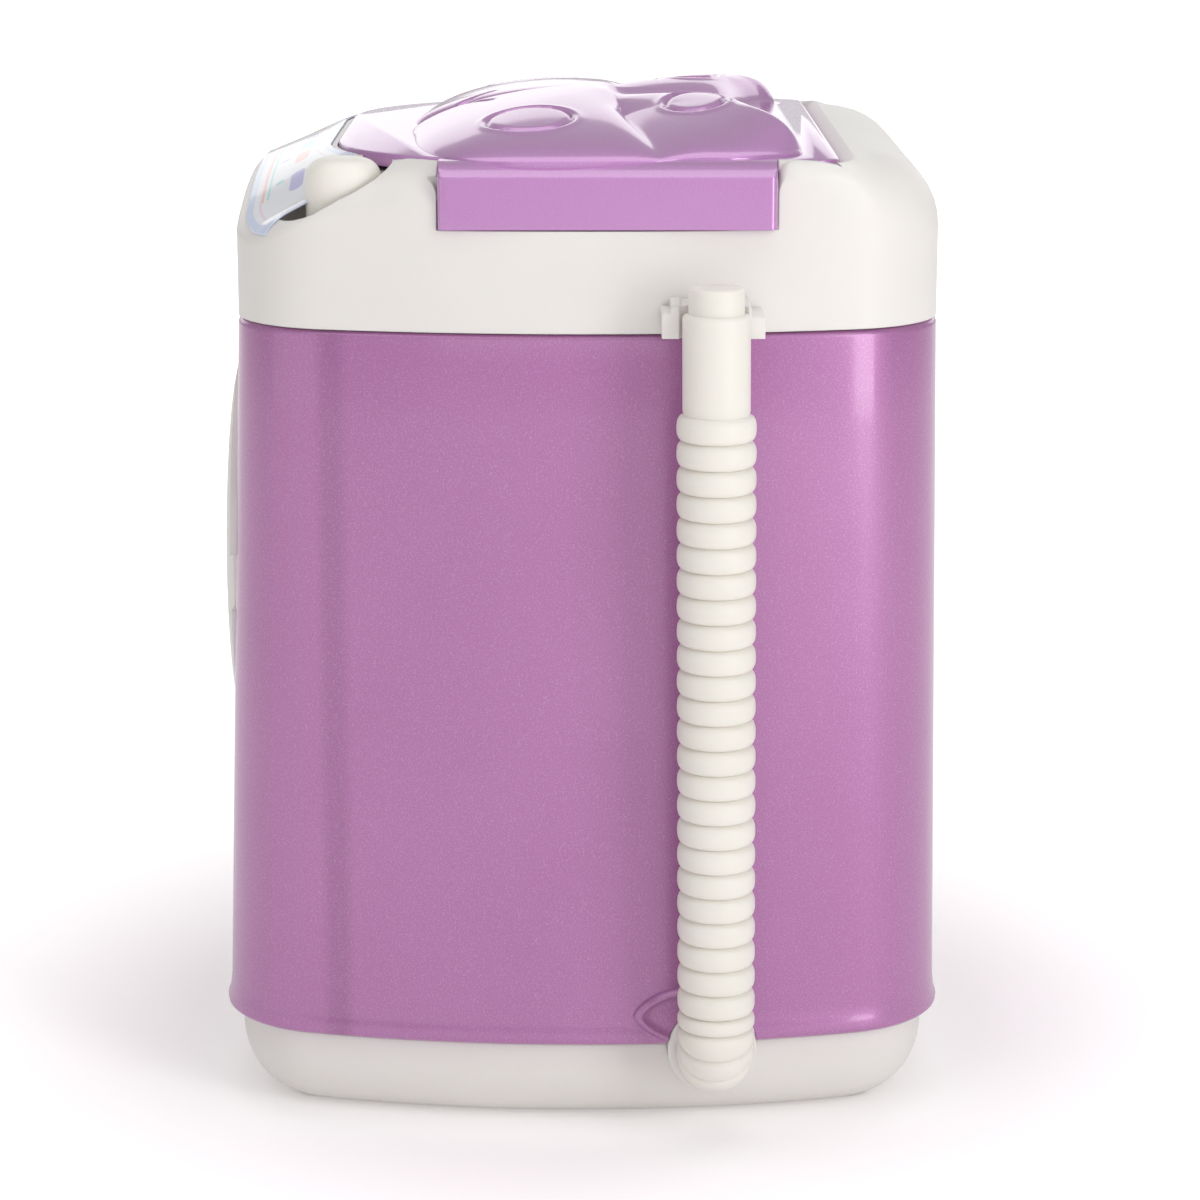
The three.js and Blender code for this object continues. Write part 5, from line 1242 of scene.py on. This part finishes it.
@dataclass
class Hose:
    """The ribbed drain hose: neck, cuff, ribs down the side and a bend into the port, with its bore."""

    x: float = 50.6
    y: float = 15.25
    y_shift: float = 0.75
    top: float = 104.4
    port_z: float = 10.8
    bend: float = 5.0
    plug: float = 7.5
    neck_radius: float = 3.2
    neck: float = 3.1
    cuff_radius: float = 3.9
    cuff: float = 11.5
    crest: float = 4.6
    valley: float = 3.8
    pitch: float = 3.0
    ribs: int = 24
    bend_pitch: float = 1.95
    bend_ribs: int = 5
    bore: float = 2.3
    cap: float = 1.2
    sides: int = 56
    steps_per_rib: int = 14
    jaw_trims: tuple[Place, Place] = ((8.0, 10.1, 101.2), (19.3, 22.0, 100.8))

    def centre(self, run: Array) -> tuple[Array, Array, Array]:
        """Place on X and Z and lean of the hose at a length along it: straight down, a quarter bend, straight in."""
        straight = self.top - self.port_z - self.bend
        turn = np.clip((run - straight) / self.bend, 0, np.pi / 2)
        past = np.maximum(run - straight - self.bend * np.pi / 2, 0)
        x = self.x - self.bend * (1 - np.cos(turn)) - past
        z = self.top - np.minimum(run, straight) - self.bend * np.sin(turn)
        return x, z, turn

    def profile(self) -> Array:
        """Length along the hose and radius: neck, cuff, and ribs whose radius is valley + (crest - valley) r(t).

        r(t) is (1 - |2t - 1|^2.6)^(1/2) over each rib, a round crest with a narrow valley.
        """
        length = self.top - self.port_z - self.bend + self.bend * np.pi / 2 + self.plug
        start = self.neck + self.cuff
        pitches = np.array([self.pitch] * self.ribs + [self.bend_pitch] * self.bend_ribs)
        starts = start + np.concatenate([[0], np.cumsum(pitches)])
        t = np.tile(np.linspace(0, 1, self.steps_per_rib, endpoint=False), len(pitches))
        run = np.repeat(starts[:-1], self.steps_per_rib) + t * np.repeat(pitches, self.steps_per_rib)
        radius = self.valley + (self.crest - self.valley) * np.sqrt(np.maximum(1 - np.abs(2 * t - 1) ** 2.6, 0))
        soft = 0.35
        head = np.array([[0.0, self.neck_radius - soft], [soft * 0.3, self.neck_radius - soft * 0.3],
                         [soft, self.neck_radius], [self.neck - 0.1, self.neck_radius],
                         [self.neck, self.cuff_radius - soft], [self.neck + soft * 0.4, self.cuff_radius - 0.1],
                         [self.neck + soft, self.cuff_radius]])
        cuff = np.column_stack([np.linspace(self.neck + 1, start - 0.5, 8), np.full(8, self.cuff_radius)])
        tail = np.array([[starts[-1], self.valley - 0.05], [length, self.valley - 0.05]])
        inside = np.column_stack([np.linspace(length, self.cap, 60), np.full(60, self.bore)])
        return np.concatenate([head, cuff, np.column_stack([run, radius]), tail, inside])

    def build(self) -> None:
        """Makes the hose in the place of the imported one, and rounds the clip, with its jaws trimmed, and the port."""
        run, radius = self.profile().T
        x, z, lean = self.centre(run)
        angle = np.linspace(0, 2 * np.pi, self.sides, endpoint=False)
        out = radius[:, None] * np.cos(angle)
        y = self.y + self.y_shift * np.minimum((self.top - z) / (self.top - self.port_z), 1)
        rings = np.stack([x[:, None] + out * np.cos(lean)[:, None], y[:, None] + radius[:, None] * np.sin(angle),
                          z[:, None] - out * np.sin(lean)[:, None]], axis=-1)
        place(loft("drain_hose_moulding", rings), HOSE_WHITE, 60, "cabinet", Slot.HOSE, "drain_hose")
        jaws = [box("jaw_trim", (38, y0, z0), (51, y1, 104)) for y0, y1, z0 in self.jaw_trims]
        clip = carve(merged_copy("hose_clip", "hose_clip_moulding"), Carving.CUT, *jaws)
        for piece, node in ((clip, "hose_clip"), (merged_copy("hose_port", "hose_port_moulding"), "hose_port")):
            place(rounded(piece, 0.25), WHITE, 32, "cabinet", Slot.WHITE, node)


class Inside:
    """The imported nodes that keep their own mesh: each gets its finish."""

    def build(self) -> None:
        """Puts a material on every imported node, by its name less its number. Whatever isn't listed is grey white."""
        choices = {"motor": ZINC, "switch_contact": BRASS, "battery_cell": SLEEVE, "drum_gear": CREAM,
                   "motor_pinion": CREAM, "battery_cover": WHITE, "wash_tray": WHITE}
        steel = ("battery_contact", "case_screw", "motor_screw", "door_hinge_pin", "drum_shaft", "motor_shaft")
        choices |= dict.fromkeys(steel, STEEL)
        for name, node in frame["nodes"].items():
            dress(node, choices.get(name.rstrip("_0123456789"), INNER))


@dataclass
class Studio:
    """Camera, lamps, floor and the pale world around the toy."""

    camera_place: Place = (0.44207, 0.0, 0.1614)
    tilt: float = 13.415
    lens: float = 104.4
    shift: float = 0.015

    def camera(self) -> None:
        """The camera at the photograph's place, looking along -X and down by the tilt."""
        data = bpy.data.cameras.new("view")
        data.lens = self.lens
        data.sensor_width = 36.0
        data.shift_x = self.shift
        data.clip_start = 0.01
        view = linked("view", data)
        view.location = self.camera_place
        view.rotation_euler = (math.radians(90 - self.tilt), 0, math.radians(90))
        bpy.context.scene.camera = view

    def lamps(self) -> None:
        """Soft rectangular lamps that look at the toy's middle: place and size in metres, power in watts."""
        for name, at, size, power in (("overhead", (0.05, 0.0, 0.75), (0.9, 0.9), 2.9),
                                      ("left_side", (0.45, -0.7, 0.3), (0.8, 0.7), 0.8),
                                      ("right_side", (0.5, 0.45, 0.25), (0.22, 0.6), 1.8),
                                      ("front_fill", (0.9, 0.0, 0.35), (0.6, 0.5), 0.8),
                                      ("rear_panel", (-0.9, 0.0, 0.3), (1.6, 0.34), 1.65)):
            data = bpy.data.lights.new(name, "AREA")
            data.shape = "RECTANGLE"
            data.size, data.size_y = size
            data.energy = power
            lamp = linked(name, data)
            lamp.location = at
            lamp.rotation_euler = (Vector((0, 0, 0.06)) - Vector(at)).to_track_quat("-Z", "Y").to_euler()

    def world(self, gloss: float = 0.15, dimmest: float = 0.24) -> None:
        """A pale world: white to the camera and through clear plastic, softer in gloss and as a light."""
        world = bpy.data.worlds.new("studio")
        tree = Tree(world)
        ray = tree.add("LightPath").outputs
        unseen = tree.maths("MULTIPLY_ADD", ray["Is Glossy Ray"], gloss, ray["Is Transmission Ray"])
        seen = tree.maths("MAXIMUM", ray["Is Camera Ray"], unseen)
        strength = tree.add("MapRange", {"Value": seen, "To Min": dimmest, "To Max": 1.0}).outputs[0]
        light = tree.add("Background", {"Color": (1, 1, 1), "Strength": strength})
        tree.add("OutputWorld", {"Surface": light.outputs[0]})
        bpy.context.scene.world = world

    def floor(self, reach: float = 2500.0, bounce: float = 0.42) -> None:
        """A pale floor that stays white to the camera away from the toy; close to the toy its glow is dimmed and
        pinkish, a painted shadow round the base over the lamps' real soft shadow.

        Args:
            reach: Half its width in millimetres.
            bounce: The share of its glow that lights the toy.
        """
        floor = new_piece("floor", reach * np.array([[-1, -1, 0], [1, -1, 0], [1, 1, 0], [-1, 1, 0]]), [[0, 1, 2, 3]])
        material = bpy.data.materials.new("floor_paper")
        tree = Tree(material)
        paper = tree.add("BsdfDiffuse", {"Color": (0.9, 0.89, 0.895)})
        away = tree.add("VectorMath", {0: tree.where()}, operation="LENGTH").outputs["Value"]
        # Painted shadow: the glow is weakest near the toy's middle and rises outwards, and its pink tint stands in for
        # the purple toy's bounce light in that dim ring.
        near = tree.maths("MULTIPLY_ADD", tree.ramp(away, 0.052, 0.1), 0.3, 0.24)
        strength = tree.maths("MULTIPLY_ADD", tree.ramp(away, 0.1, 0.5), 0.4, near)
        glow = tree.add("Emission", {"Color": (1.0, 0.95, 0.94), "Strength": strength})
        seen = tree.maths("MAXIMUM", tree.add("LightPath").outputs["Is Camera Ray"], bounce)
        both = tree.add("AddShader", {0: paper.outputs[0], 1: glow.outputs[0]})
        mixed = tree.add("MixShader", {0: seen, 1: paper.outputs[0], 2: both.outputs[0]})
        tree.add("OutputMaterial", {"Surface": mixed.outputs[0]})
        floor.data.materials.append(material)

    def build(self) -> None:
        """Sets the view, the world, the lamps and the floor."""
        bpy.context.scene.view_settings.view_transform = "Standard"
        self.camera()
        self.world()
        self.lamps()
        self.floor()


def main() -> None:
    """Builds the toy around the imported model, sub-assembly by sub-assembly."""
    logging.basicConfig(level=logging.INFO, format="%(name)s %(message)s")
    plan = CabinetPlan()
    top = TopFrame(plan)
    for part in (Studio(), Inside(), Base(plan), Cabinet(plan), top, Panel(top), Knob(), Lid(top), Door(), Hose()):
        part.build()


if __name__ == "__main__":
    main()
